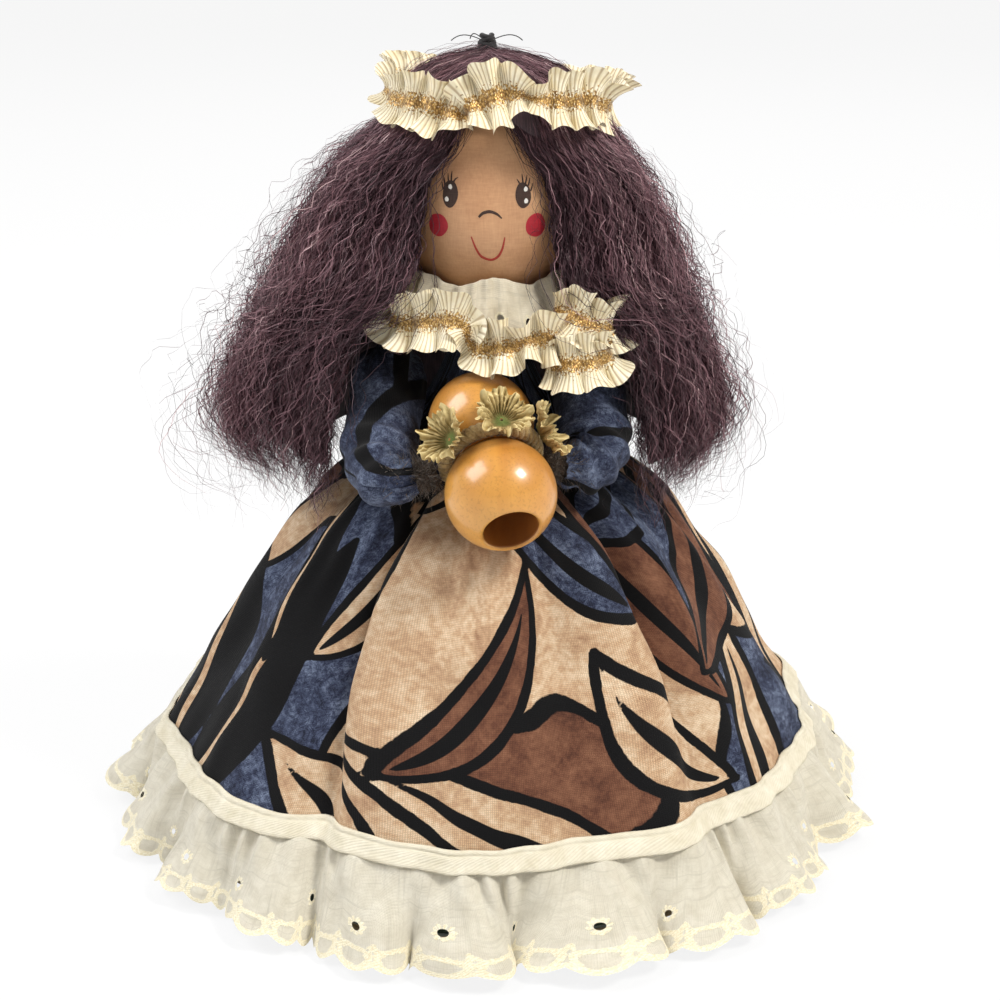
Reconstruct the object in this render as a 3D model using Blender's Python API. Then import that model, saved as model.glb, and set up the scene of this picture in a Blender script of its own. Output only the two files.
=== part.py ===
"""Hula girl doll: a turned wooden head with long hair on a gathered printed dress with a lace hem.

The doll faces -Y and stands on Z = 0. Its own right hand is at -X. An azimuth is counted from the
front (-Y) towards the doll's left (+X).
"""
import math
from functools import lru_cache

import bmesh
import bpy
from mathutils import Matrix, Vector

MM = 0.001

# Fits
CLEARANCE = 0.3 * MM  # between pieces that touch
TIP = 0.05 * MM  # how close two points of one piece lie before they are merged

# Stand inside the dress
BASE_THICKNESS = 2 * MM
BASE_INSET = 2 * MM  # from the cone's foot to the card's edge
BASE_EDGE = 0.6 * MM
CONE_SKIRT_GAP = 1 * MM  # from the cone's foot to the hem or the lace, whichever is nearer
CONE_SHOULDER_DROP = 7.7 * MM  # from the shoulders down to the cone's top
CONE_EDGE = 2 * MM
DOWEL_RADIUS = 4.75 * MM
DOWEL_DEPTH_IN_CONE = 48 * MM
DOWEL_DEPTH_IN_HEAD = 25 * MM

# Turned head, an egg with its fat end down
HEAD_RADIUS = 21.5 * MM
HEAD_LOWER_HEIGHT = 23 * MM  # from the bottom to the widest section
HEAD_UPPER_HEIGHT = 34 * MM
HEAD_FLAT_RADIUS = 8 * MM

# Dress, a gathered cone of cotton tied round the neck dowel
DRESS_WALL = 1.2 * MM
HEM_HEIGHT = 24 * MM
HEM_RADIUS = 85 * MM
HIP_RISE = 58 * MM  # from the hem
DRESS_HIP_RADIUS = 48.5 * MM
YOKE_RISE = 18 * MM  # from the hip
DRESS_YOKE_RADIUS = 26 * MM
SHOULDER_RISE = 17 * MM  # from the yoke
DRESS_SHOULDER_RADIUS = 13 * MM
NECK_RISE = 17 * MM  # from the shoulders
HEAD_NECK_GAP = 1 * MM  # from the dress's top to the head
GATHER_COUNT = 13
GATHER_DEPTH = 1.0 * MM
# Each main fold: azimuth in degrees, depth at the hip, half width in degrees
MAIN_FOLDS = (
    (-28, 10.5 * MM, 7),
    (17, 2.8 * MM, 6),
    (39, 8.0 * MM, 7),
    (67, 3.5 * MM, 6),
    (90, 6.5 * MM, 9),
    (140, 7.0 * MM, 9),
    (175, 5.5 * MM, 9),
    (-141, 7.0 * MM, 9),
    (-100, 6.5 * MM, 9),
    (-73, 3.5 * MM, 6),
)
FOLD_LEFT_AT_HEM = 0.35  # share of a fold's depth that is left at the hem

# Hem trim
TAPE_WIDTH = 5.5 * MM
TAPE_WALL = 0.8 * MM
TAPE_OVERHANG = 1.2 * MM  # how far the tape reaches below the dress
RUFFLE_WALL = 0.7 * MM
RUFFLE_RADIUS = 93.7 * MM  # middle of the waves at the lower edge
RUFFLE_WAVE = 4.8 * MM  # the deepest wave
RUFFLE_WAVES = 20
# Uneven gathers: how often they come round the hem, how far they shift the waves and their start, in radians
RUFFLE_SHIFTS = ((2, 0.9, 0.6), (6, 0.4, 2.2))
# How often the depth changes round the hem, by what share of the deepest wave, and its start in radians
RUFFLE_SWELLS = ((4, 0.23, 1.0), (6, 0.15, 0.0))
RUFFLE_LIFT = 3.5 * MM  # how far a crest's edge rises
RUFFLE_FLOOR_GAP = 0.5 * MM

# Collar, an eyelet frill that cups the head and folds over
COLLAR_WALL = 0.7 * MM
COLLAR_RISE = 9.8 * MM  # from the head's bottom up to the fold
COLLAR_FOOT_DROP = 4.5 * MM  # from the head's bottom down to the seam
COLLAR_HEAD_GAP = 0.9 * MM
COLLAR_FOLD = 1.3 * MM  # half width of the fold
COLLAR_FLAP_SPREAD = 7.5 * MM
COLLAR_FLAP_DROP = 13 * MM
COLLAR_WAVE = 1.1 * MM
COLLAR_WAVES = 20

# Ruched ribbons
RIBBON_WIDTH = 13 * MM
RIBBON_WALL = 0.9 * MM
NECK_LEI_DROP = 7.6 * MM  # from the head's bottom down to the ribbon's lower edge
NECK_LEI_TILT = 2.4 * MM  # how far the right side is higher than the middle
NECK_LEI_WAVE = 1.7 * MM
NECK_LEI_WAVES = 18
HEAD_LEI_RISE = 3.4 * MM  # from the crown's lower edge
HEAD_LEI_WAVE = 1.7 * MM
HEAD_LEI_WAVES = 18
RIBBON_GATHER = 0.35  # share of the wave that is left on the gathering line

# Hair
CROWN_DEPTH = 14 * MM  # from the head's top down to the crown's lower edge
CROWN_RADIUS = 31 * MM
CROWN_THICKNESS = 5 * MM  # on top of the head
CROWN_HAIRLINE_RISE = 3 * MM
CROWN_FRONT_SHARE = 0.12  # hair thickness at the hairline, as a share of that at the sides
CROWN_BACK_SHARE = 0.6
CROWN_LEAST = 2 * MM  # least distance from the head to the crown's outside
# Shares of the crown's height and radius, from its lower edge up
CROWN_DOME = ((0.0, 1.0), (0.45, 0.9), (0.8, 0.58))
HAIR_HEAD_GAP = 0.8 * MM
KNOT_RADIUS = 2.4 * MM
KNOT_HEIGHT = 3 * MM
TIE_THICKNESS = 1.6 * MM
# Each drop is counted from the crown's lower edge
HAIR_CHEEK_DROP = 17 * MM
HAIR_CHEEK_RADIUS = 41 * MM
HAIR_NECK_DROP = 42 * MM
HAIR_NECK_RADIUS = 53.5 * MM
HAIR_WIDEST_DROP = 75 * MM
HAIR_WIDEST_RADIUS = 65 * MM
HAIR_LENGTH = 88 * MM
HAIR_END_RADIUS = 54 * MM
HAIR_LEAN = 4 * MM  # how much further the hair stands out on the right
HAIR_BACK_SHARE = 0.72  # depth of the hair behind, as a share of its half width
HAIR_THROAT_DROP = 32 * MM
HAIR_THROAT_RADIUS = 29 * MM
HAIR_SLEEVE_GAP = 5 * MM
HAIR_SKIRT_GAP = 4 * MM
LOCK_COUNT = 28
LOCK_DEPTH = 1.2 * MM
LOCK_TIP = 2.5 * MM
SIDE_HAIR_BACK = 126  # azimuth in degrees where the side hair meets the back hair
# Azimuths in degrees of the hair's front edge
HAIR_FRONT_CROWN = 30
HAIR_FRONT_CHEEK = 46
HAIR_FRONT_NECK = 56
HAIR_FRONT_END = 64
HAIR_EDGE_TURN = 26  # degrees over which the front edge grows to the full thickness
HAIR_EDGE_SHARE = 0.3  # thickness at the front edge, as a share of the full one

# Double gourd drum
LOWER_GOURD_RADIUS = 13.25 * MM
UPPER_GOURD_RADIUS = 12.75 * MM
GOURD_BORE_RADIUS = 6.5 * MM
GOURD_LIP = 0.7 * MM  # flat ring round a bore's mouth
PEG_LENGTH = 18 * MM
DRUM_TILT = 31.5  # degrees below level
DRUM_YAW = 15  # degrees towards the doll's left
UPPER_GOURD_X = -1.5 * MM
DRUM_LEI_GAP = 0.8 * MM
DRUM_SKIRT_GAP = 0.5 * MM
GARLAND_THICKNESS = 2.1 * MM  # radius of the twisted straw
FLOWER_RADIUS = 7.8 * MM
FLOWER_WALL = 1.0 * MM
FLOWER_CUP = 2.6 * MM
FLOWER_PETALS = 9
FLOWER_PETAL_DEPTH = 0.9 * MM
FLOWER_STALK_RADIUS = 1.6 * MM
# Each straw flower: name and its angle round the drum, in degrees from the top
FLOWERS = (("ipu_flower_right", -54), ("ipu_flower_centre", 3), ("ipu_flower_left", 58))

# Arms
STEM_RADIUS = 2.8 * MM
SLEEVE_WALL = 1.0 * MM
SLEEVE_SHOULDER_RADIUS = 9.5 * MM
SLEEVE_PUFF_RADIUS = 9.6 * MM
SLEEVE_ELBOW_RADIUS = 8.2 * MM
SHOULDER_FORWARD = 6 * MM
ELBOW_OUT = 1.5 * MM
ELBOW_FORWARD = 22 * MM
ELBOW_DROP = 13 * MM
HAND_ANGLE = 106  # where a hand holds the drum's waist, in degrees from the top
CUFF_REACH = 18.5 * MM  # from the drum's axis to the cuff
CUFF_LEAD = 12 * MM  # how far out the forearm starts to point at the drum
SEARCH_STEP = 0.1 * MM  # step of the search for a clear place beside the dress
PROFILE_STEP = 1 * MM  # step up the dress in that search

# Facets
TURNED_SIDES = 36
CLOTH_SIDES = 64
RIBBON_SIDES = 72
RUFFLE_SIDES = 140
TUBE_SIDES = 14

# Heights that follow
HIP_HEIGHT = HEM_HEIGHT + HIP_RISE
YOKE_HEIGHT = HIP_HEIGHT + YOKE_RISE
SHOULDER_HEIGHT = YOKE_HEIGHT + SHOULDER_RISE
DRESS_TOP = SHOULDER_HEIGHT + NECK_RISE
HEAD_BOTTOM = DRESS_TOP + HEAD_NECK_GAP
HEAD_WIDEST = HEAD_BOTTOM + HEAD_LOWER_HEIGHT
HEAD_TOP = HEAD_WIDEST + HEAD_UPPER_HEIGHT
CONE_BOTTOM = BASE_THICKNESS + CLEARANCE
CONE_TOP = SHOULDER_HEIGHT - CONE_SHOULDER_DROP
COLLAR_TOP = HEAD_BOTTOM + COLLAR_RISE
COLLAR_FOOT = HEAD_BOTTOM - COLLAR_FOOT_DROP
NECK_LEI_BOTTOM = HEAD_BOTTOM - NECK_LEI_DROP
CROWN_BOTTOM = HEAD_TOP - CROWN_DEPTH
CROWN_TOP = HEAD_TOP + CROWN_THICKNESS
HEAD_LEI_BOTTOM = CROWN_BOTTOM + HEAD_LEI_RISE
HAIR_CHEEK_HEIGHT = CROWN_BOTTOM - HAIR_CHEEK_DROP
HAIR_THROAT_HEIGHT = CROWN_BOTTOM - HAIR_THROAT_DROP
HAIR_NECK_HEIGHT = CROWN_BOTTOM - HAIR_NECK_DROP
HAIR_WIDEST_HEIGHT = CROWN_BOTTOM - HAIR_WIDEST_DROP
HAIR_END_HEIGHT = CROWN_BOTTOM - HAIR_LENGTH


def remove_old_objects():
    for old in list(bpy.data.objects):
        bpy.data.objects.remove(old, do_unlink=True)


def make_material(name, colour, roughness, metallic=0.0):
    material = bpy.data.materials.new(name)
    material.use_nodes = True
    shader = material.node_tree.nodes["Principled BSDF"]
    shader.inputs["Base Color"].default_value = (*colour, 1.0)
    shader.inputs["Roughness"].default_value = roughness
    shader.inputs["Metallic"].default_value = metallic
    return material


def make_pivot(name, place):
    pivot = bpy.data.objects.new(name, None)
    pivot.location = place
    bpy.context.collection.objects.link(pivot)
    return pivot


def finish_piece(name, bm, material, pivot=None):
    """Turn a bmesh in world places into a named object, on its joint's pivot if it moves."""
    bmesh.ops.remove_doubles(bm, verts=bm.verts, dist=TIP)
    bmesh.ops.recalc_face_normals(bm, faces=bm.faces)
    if pivot is not None:
        bmesh.ops.translate(bm, verts=bm.verts, vec=-pivot.location)
    mesh = bpy.data.meshes.new(name)
    bm.to_mesh(mesh)
    bm.free()
    mesh.shade_smooth()
    mesh.set_sharp_from_angle(angle=math.radians(50))
    mesh.materials.append(material)
    piece = bpy.data.objects.new(name, mesh)
    piece.parent = pivot
    bpy.context.collection.objects.link(piece)
    return piece


def smooth_curve(points, at):
    """Read a curve that goes through (height, size) points without overshooting them."""
    points = sorted(points)
    if at <= points[0][0]:
        return points[0][1]
    if at >= points[-1][0]:
        return points[-1][1]
    rises = []
    for (low, size), (high, next_size) in zip(points, points[1:]):
        rises.append((next_size - size) / (high - low))
    slopes = [rises[0]]
    for before, after in zip(rises, rises[1:]):
        slopes.append(2 * before * after / (before + after) if before * after > 0 else 0.0)
    slopes.append(rises[-1])
    for index, ((low, size), (high, next_size)) in enumerate(zip(points, points[1:])):
        if at <= high:
            span = high - low
            t = (at - low) / span
            start = size * (1 + 2 * t) * (1 - t) ** 2 + slopes[index] * span * t * (1 - t) ** 2
            end = next_size * t * t * (3 - 2 * t) + slopes[index + 1] * span * t * t * (t - 1)
            return start + end
    return points[-1][1]


def ease(low, high, at):
    t = min(1.0, max(0.0, (at - low) / (high - low)))
    return t * t * (3 - 2 * t)


def polar(azimuth, radius, height):
    return Vector((radius * math.sin(azimuth), -radius * math.cos(azimuth), height))


def turn_outline(outline, steps, closed):
    """Spin a (radius, height) outline once round Z. An open outline starts and ends on the axis."""
    bm = bmesh.new()
    points = [bm.verts.new(polar(0.0, radius, height)) for radius, height in outline]
    edges = [bm.edges.new(pair) for pair in zip(points, points[1:])]
    if closed:
        edges.append(bm.edges.new((points[-1], points[0])))
    bmesh.ops.spin(
        bm,
        geom=points + edges,
        cent=(0, 0, 0),
        axis=(0, 0, 1),
        angle=math.tau,
        steps=steps,
        use_merge=True,
    )
    bmesh.ops.remove_doubles(bm, verts=bm.verts, dist=TIP)
    return bm


def drape(bm, move):
    """Shift each point of a turned cloth: move(azimuth, radius, height) gives radius and height."""
    for point in bm.verts:
        radius = math.hypot(point.co.x, point.co.y)
        if radius > TIP:
            azimuth = math.atan2(point.co.x, -point.co.y)
            point.co = polar(azimuth, *move(azimuth, radius, point.co.z))


def walled_outline(path, wall):
    """Close a (radius, height) path into a thin outline, with its wall on the right of its run."""
    back = []
    for index, (radius, height) in enumerate(path):
        before = path[max(index - 1, 0)]
        after = path[min(index + 1, len(path) - 1)]
        run = Vector((after[0] - before[0], after[1] - before[1])).normalized()
        back.append((radius + wall * run.y, height - wall * run.x))
    return path + back[::-1]


def loft_rings(rings):
    """Join circles, each a (place, direction, radius), in order and close both ends flat."""
    bm = bmesh.new()
    loops = []
    for place, direction, radius in rings:
        turn = direction.to_track_quat("Z", "Y").to_matrix().to_4x4()
        circle = bmesh.ops.create_circle(
            bm, segments=TUBE_SIDES, radius=radius, matrix=Matrix.Translation(place) @ turn
        )
        loops.append(circle["verts"])
    for first, second in zip(loops, loops[1:]):
        for side in range(TUBE_SIDES):
            after = (side + 1) % TUBE_SIDES
            bm.faces.new((first[side], first[after], second[after], second[side]))
    bm.faces.new(loops[0][::-1])
    bm.faces.new(loops[-1])
    return bm


# Heights and radii that the pieces share


def egg_radius(height):
    """Radius of the head's outside at a height."""
    rise = height - HEAD_WIDEST
    reach = HEAD_LOWER_HEIGHT if rise < 0 else HEAD_UPPER_HEIGHT
    return HEAD_RADIUS * math.sqrt(max(0.0, 1 - (rise / reach) ** 2))


def dress_neck_radius():
    return DOWEL_RADIUS + CLEARANCE + DRESS_WALL


def dress_radius(height):
    """Radius of the dress's outside at a height, with its folds left out."""
    outline = [
        (HEM_HEIGHT, HEM_RADIUS),
        (HIP_HEIGHT, DRESS_HIP_RADIUS),
        (YOKE_HEIGHT, DRESS_YOKE_RADIUS),
        (SHOULDER_HEIGHT, DRESS_SHOULDER_RADIUS),
        (DRESS_TOP, dress_neck_radius()),
    ]
    return smooth_curve(outline, height)


def turn_between(azimuth, centre):
    """Smallest turn from one azimuth to another."""
    return (azimuth - centre + math.pi) % math.tau - math.pi


def dress_fold(azimuth, height):
    """How far the gathered cloth stands out or in at a place on the dress."""
    grown = ease(SHOULDER_HEIGHT, HIP_HEIGHT, height)
    depth = FOLD_LEFT_AT_HEM + (1 - FOLD_LEFT_AT_HEM) * ease(HEM_HEIGHT, HIP_HEIGHT, height)
    inward = 0.0
    for centre, fold_depth, width in MAIN_FOLDS:
        share = turn_between(azimuth, math.radians(centre)) / math.radians(width)
        inward += fold_depth * math.exp(-share * share)
    return grown * depth * (GATHER_DEPTH * math.cos(GATHER_COUNT * azimuth) - inward)


def clear_of_dress(place, radius, gap):
    """Whether a ball at a place stays a gap away from the dress's outside."""
    reach = math.hypot(place.x, place.y)
    height = place.z - radius - gap
    while height < place.z + radius:
        cloth = dress_radius(height) + GATHER_DEPTH
        if math.hypot(reach - cloth, place.z - height) < radius + gap or reach < cloth:
            return False
        height += PROFILE_STEP
    return True


def crown_radius(azimuth, height):
    """Radius of the outside of the hair on top of the head."""
    dome = [(CROWN_TOP, KNOT_RADIUS)]
    for up, out in CROWN_DOME:
        dome.append((CROWN_BOTTOM + up * (CROWN_TOP - CROWN_BOTTOM), out * CROWN_RADIUS))
    lower = egg_radius(height) + CLEARANCE
    least = CROWN_FRONT_SHARE if math.cos(azimuth) > 0 else CROWN_BACK_SHARE
    share = least + (1 - least) * math.sin(azimuth) ** 2
    return lower + (smooth_curve(dome, height) - lower) * share


# Stand


def cone_foot_radius():
    """The cone fills the skirt down to the hem, and clears the lace's inner waves."""
    lace = RUFFLE_RADIUS - RUFFLE_WAVE - RUFFLE_WALL
    return min(HEM_RADIUS, lace) - CONE_SKIRT_GAP


def make_base(material):
    radius = cone_foot_radius() - BASE_INSET
    outline = [
        (0, 0),
        (radius - BASE_EDGE, 0),
        (radius, BASE_EDGE),
        (radius, BASE_THICKNESS - BASE_EDGE),
        (radius - BASE_EDGE, BASE_THICKNESS),
        (0, BASE_THICKNESS),
    ]
    finish_piece("base_card", turn_outline(outline, TURNED_SIDES, False), material)


def make_cone(material):
    foot = cone_foot_radius()
    brim = DRESS_SHOULDER_RADIUS - DRESS_WALL - CLEARANCE
    bore = DOWEL_RADIUS + CLEARANCE
    outline = [
        (0, CONE_BOTTOM),
        (foot - CONE_EDGE, CONE_BOTTOM),
        (foot, CONE_BOTTOM + CONE_EDGE),
        (brim + CONE_EDGE, CONE_TOP - CONE_EDGE),
        (brim, CONE_TOP),
        (bore, CONE_TOP),
        (bore, CONE_TOP - DOWEL_DEPTH_IN_CONE),
        (0, CONE_TOP - DOWEL_DEPTH_IN_CONE),
    ]
    finish_piece("body_cone", turn_outline(outline, TURNED_SIDES, False), material)


def make_dowel(material):
    low = CONE_TOP - DOWEL_DEPTH_IN_CONE + CLEARANCE
    high = HEAD_BOTTOM + DOWEL_DEPTH_IN_HEAD - CLEARANCE
    outline = [(0, low), (DOWEL_RADIUS, low), (DOWEL_RADIUS, high), (0, high)]
    finish_piece("neck_dowel", turn_outline(outline, TUBE_SIDES * 2, False), material)


# Dress and its trim


def make_dress(material):
    rows = (DRESS_TOP, SHOULDER_HEIGHT, 0.5 * (SHOULDER_HEIGHT + YOKE_HEIGHT), YOKE_HEIGHT)
    rows += (0.5 * (YOKE_HEIGHT + HIP_HEIGHT), HIP_HEIGHT)
    skirt = 3
    for step in range(1, skirt + 1):
        rows += (HIP_HEIGHT + (HEM_HEIGHT - HIP_HEIGHT) * step / skirt,)
    outside = [(dress_radius(height), height) for height in rows]
    inside = [(radius - DRESS_WALL, height) for radius, height in outside]
    bm = turn_outline(outside + inside[::-1], CLOTH_SIDES, True)
    drape(bm, lambda azimuth, radius, height: (radius + dress_fold(azimuth, height), height))
    finish_piece("dress", bm, material)


def ruffle_top():
    return HEM_HEIGHT - CLEARANCE


def ruffle_share(height):
    return (ruffle_top() - height) / (ruffle_top() - RUFFLE_FLOOR_GAP)


def ruffle_radius(share):
    """Outside of the lace, before its waves, from its seam (0) to its edge (1)."""
    return HEM_RADIUS + (RUFFLE_RADIUS - HEM_RADIUS) * share**0.8


def ruffle_wave(azimuth):
    """How far the gathered lace stands out or in, as a share of its deepest wave."""
    turn = RUFFLE_WAVES * azimuth
    for count, shift, start in RUFFLE_SHIFTS:
        turn += shift * math.sin(count * azimuth + start)
    depth = 1.0
    for count, share, start in RUFFLE_SWELLS:
        depth -= share * (1 - math.sin(count * azimuth + start))
    return depth * math.cos(turn)


def ruffle_move(azimuth, radius, height):
    share = ruffle_share(height)
    wave = ruffle_wave(azimuth)
    radius += RUFFLE_WAVE * share * wave + dress_fold(azimuth, HEM_HEIGHT) * (1 - share)
    return radius, height + RUFFLE_LIFT * share * (0.5 + 0.5 * wave)


def make_ruffle(material):
    rows = 3
    outside = []
    for row in range(rows + 1):
        share = row / rows
        height = ruffle_top() + (RUFFLE_FLOOR_GAP - ruffle_top()) * share
        outside.append((ruffle_radius(share), height))
    inside = [(radius - RUFFLE_WALL, height) for radius, height in outside]
    bm = turn_outline(outside + inside[::-1], RUFFLE_SIDES, True)
    drape(bm, ruffle_move)
    finish_piece("hem_ruffle", bm, material)


def make_tape(material):
    low = HEM_HEIGHT - TAPE_OVERHANG
    high = low + TAPE_WIDTH
    seat = ruffle_radius(ruffle_share(low)) + RUFFLE_WAVE * ruffle_share(low) + CLEARANCE
    inside = [(dress_radius(high) + CLEARANCE, high), (HEM_RADIUS + CLEARANCE, HEM_HEIGHT), (seat, low)]
    outside = [(radius + TAPE_WALL, height) for radius, height in inside]
    bm = turn_outline(inside + outside[::-1], CLOTH_SIDES, True)
    drape(bm, lambda azimuth, radius, height: (radius + dress_fold(azimuth, height), height))
    finish_piece("hem_tape", bm, material)


def collar_path():
    """The frill's upper face from the neck, up round the head, over its fold and down the flap."""
    foot = dress_radius(COLLAR_FOOT) + CLEARANCE + COLLAR_WALL
    brim = egg_radius(COLLAR_TOP) + COLLAR_HEAD_GAP
    return [
        (foot, COLLAR_FOOT),
        (brim, COLLAR_TOP - COLLAR_FOLD),
        (brim + COLLAR_FOLD, COLLAR_TOP),
        (brim + 2 * COLLAR_FOLD, COLLAR_TOP - COLLAR_FOLD),
        (brim + 2 * COLLAR_FOLD + COLLAR_FLAP_SPREAD, COLLAR_TOP - COLLAR_FLAP_DROP),
    ]


def flap_radius(height):
    """Outside of the collar's flap at a height, waves included."""
    (start, top), (end, bottom) = collar_path()[-2:]
    share = (top - height) / (top - bottom)
    return start + (end - start) * share + COLLAR_WAVE * min(max(share, 0.0), 1.0)


def make_collar(material):
    path = collar_path()
    fold = path[2][0]
    edge = path[4][0]

    def move(azimuth, radius, height):
        share = max(0.0, radius - fold) / (edge - fold)
        return radius + COLLAR_WAVE * share * math.cos(COLLAR_WAVES * azimuth), height

    bm = turn_outline(walled_outline(path, COLLAR_WALL), COLLAR_WAVES * 3, True)
    drape(bm, move)
    finish_piece("collar_ruffle", bm, material)


def ribbon_outline(radius, bottom):
    rows = 2
    inside = [(radius, bottom + RIBBON_WIDTH * row / rows) for row in range(rows + 1)]
    outside = [(radius + RIBBON_WALL, height) for radius, height in inside]
    return outside + inside[::-1]


def ribbon_wave(azimuth, height, bottom, depth, count):
    """How far a ruched ribbon stands off at a place: most at its edges, least on its thread."""
    side = abs((height - bottom) / RIBBON_WIDTH - 0.5) * 2
    return depth * (RIBBON_GATHER + (1 - RIBBON_GATHER) * side) * (1 + math.cos(count * azimuth))


def make_neck_lei(material):
    radius = flap_radius(NECK_LEI_BOTTOM)

    def move(azimuth, at, height):
        lifted = height - NECK_LEI_TILT * math.sin(azimuth)
        seat = flap_radius(lifted) + CLEARANCE
        wave = ribbon_wave(azimuth, height, NECK_LEI_BOTTOM, NECK_LEI_WAVE, NECK_LEI_WAVES)
        return seat + (at - radius) + wave, lifted

    bm = turn_outline(ribbon_outline(radius, NECK_LEI_BOTTOM), RIBBON_SIDES, True)
    drape(bm, move)
    finish_piece("neck_lei", bm, material)


def make_head_lei(material, pivot):
    def move(azimuth, at, height):
        seat = crown_radius(azimuth, HEAD_LEI_BOTTOM) + CLEARANCE
        wave = ribbon_wave(azimuth, height, HEAD_LEI_BOTTOM, HEAD_LEI_WAVE, HEAD_LEI_WAVES)
        return seat + (at - CROWN_RADIUS) + wave, height

    bm = turn_outline(ribbon_outline(CROWN_RADIUS, HEAD_LEI_BOTTOM), RIBBON_SIDES, True)
    drape(bm, move)
    finish_piece("head_lei", bm, material, pivot)


# Head and hair


def make_head(material, pivot):
    bore = DOWEL_RADIUS + CLEARANCE
    outline = [(0, HEAD_TOP)]
    steps = 16
    for step in range(1, steps):
        turn = math.pi * step / steps
        reach = HEAD_UPPER_HEIGHT if turn < math.pi / 2 else HEAD_LOWER_HEIGHT
        height = HEAD_WIDEST + reach * math.cos(turn)
        if egg_radius(height) > HEAD_FLAT_RADIUS or turn < math.pi / 2:
            outline.append((egg_radius(height), height))
    outline += [
        (HEAD_FLAT_RADIUS, HEAD_BOTTOM),
        (bore, HEAD_BOTTOM),
        (bore, HEAD_BOTTOM + DOWEL_DEPTH_IN_HEAD),
        (0, HEAD_BOTTOM + DOWEL_DEPTH_IN_HEAD),
    ]
    finish_piece("head", turn_outline(outline, TURNED_SIDES, False), material, pivot)


def make_crown(material, pivot):
    rows = 6
    outside = []
    for row in range(rows + 1):
        height = CROWN_BOTTOM + (CROWN_TOP - CROWN_BOTTOM) * row / rows
        outside.append((crown_radius(math.pi / 2, height), height))
    knot = [(KNOT_RADIUS, CROWN_TOP + KNOT_HEIGHT), (0, CROWN_TOP + KNOT_HEIGHT)]
    inside = []
    for row in range(rows):
        height = CROWN_BOTTOM + (HEAD_TOP - CROWN_BOTTOM) * (row / rows) ** 0.6
        inside.append((egg_radius(height) + HAIR_HEAD_GAP, height))
    inside.append((0, HEAD_TOP + HAIR_HEAD_GAP))
    rise_end = CROWN_BOTTOM + 0.4 * (CROWN_TOP - CROWN_BOTTOM)

    def move(azimuth, radius, height):
        lining = radius < egg_radius(height) + HAIR_HEAD_GAP + TIP and height < HEAD_TOP
        share = max(0.0, 1 - (height - CROWN_BOTTOM) / (rise_end - CROWN_BOTTOM))
        lifted = height + CROWN_HAIRLINE_RISE * share * max(0.0, math.cos(azimuth)) ** 3
        if lining:
            return egg_radius(lifted) + HAIR_HEAD_GAP, lifted
        if height > CROWN_TOP - TIP:
            return radius, height
        return max(crown_radius(azimuth, lifted), egg_radius(lifted) + CROWN_LEAST), lifted

    outline = knot[::-1] + outside[::-1] + inside
    bm = turn_outline(outline, TURNED_SIDES, False)
    drape(bm, move)
    finish_piece("hair_crown", bm, material, pivot)


def round_outline(radius, middle, height, sides=8):
    """A circle of (radius, height) points, to be turned into a ring."""
    outline = []
    for side in range(sides):
        turn = math.tau * side / sides
        outline.append((middle + radius * math.cos(turn), height + radius * math.sin(turn)))
    return outline


def make_tie(material, pivot):
    middle = KNOT_RADIUS + CLEARANCE + TIE_THICKNESS / 2
    height = CROWN_TOP + CLEARANCE + TIE_THICKNESS
    outline = round_outline(TIE_THICKNESS / 2, middle, height)
    finish_piece("hair_tie", turn_outline(outline, TUBE_SIDES, True), material, pivot)


def hair_front(height):
    """Azimuth of the hair's front edge: parted over the forehead, then down beside the face."""
    edge = [
        (HAIR_END_HEIGHT, math.radians(HAIR_FRONT_END)),
        (HAIR_NECK_HEIGHT, math.radians(HAIR_FRONT_NECK)),
        (HAIR_CHEEK_HEIGHT, math.radians(HAIR_FRONT_CHEEK)),
        (CROWN_BOTTOM, math.radians(HAIR_FRONT_CROWN)),
    ]
    return smooth_curve(edge, height)


@lru_cache(maxsize=None)
def hair_over_sleeve():
    """Inside of the hair at the shoulders, clear of the sleeves."""
    shoulder = shoulder_place(1)
    puff = max(SLEEVE_PUFF_RADIUS, SLEEVE_SHOULDER_RADIUS)
    return math.hypot(shoulder.x, shoulder.y) + puff + HAIR_SLEEVE_GAP


def hair_inside(height):
    if height >= HEAD_WIDEST:
        return egg_radius(height) + HAIR_HEAD_GAP
    skirt = dress_radius(HAIR_END_HEIGHT) + GATHER_DEPTH + HAIR_SKIRT_GAP
    sleeve = hair_over_sleeve()
    lining = [
        (HEAD_WIDEST, HEAD_RADIUS + HAIR_HEAD_GAP),
        (HAIR_THROAT_HEIGHT, HAIR_THROAT_RADIUS),
        (COLLAR_FOOT, sleeve),
        (HAIR_END_HEIGHT, max(skirt, sleeve + HAIR_SKIRT_GAP)),
    ]
    return smooth_curve(lining, height)


def hair_outside(azimuth, height):
    width = [
        (HAIR_END_HEIGHT, HAIR_END_RADIUS),
        (HAIR_WIDEST_HEIGHT, HAIR_WIDEST_RADIUS),
        (HAIR_NECK_HEIGHT, HAIR_NECK_RADIUS),
        (HAIR_CHEEK_HEIGHT, HAIR_CHEEK_RADIUS),
        (CROWN_BOTTOM, CROWN_RADIUS),
    ]
    lean = HAIR_LEAN * ease(CROWN_BOTTOM, HAIR_WIDEST_HEIGHT, height)
    side = smooth_curve(width, height) - lean * math.sin(azimuth)
    least = 1.0 if math.cos(azimuth) > 0 else HAIR_BACK_SHARE
    full = side / math.hypot(math.sin(azimuth), math.cos(azimuth) / least)
    lining = hair_inside(height)
    past_edge = ease(0, math.radians(HAIR_EDGE_TURN), abs(azimuth) - hair_front(height))
    thickness = HAIR_EDGE_SHARE + (1 - HAIR_EDGE_SHARE) * past_edge
    lock = LOCK_DEPTH * math.cos(LOCK_COUNT * azimuth)
    return lining + (max(full, lining + LOCK_DEPTH * 2) - lining) * thickness + lock


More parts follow.
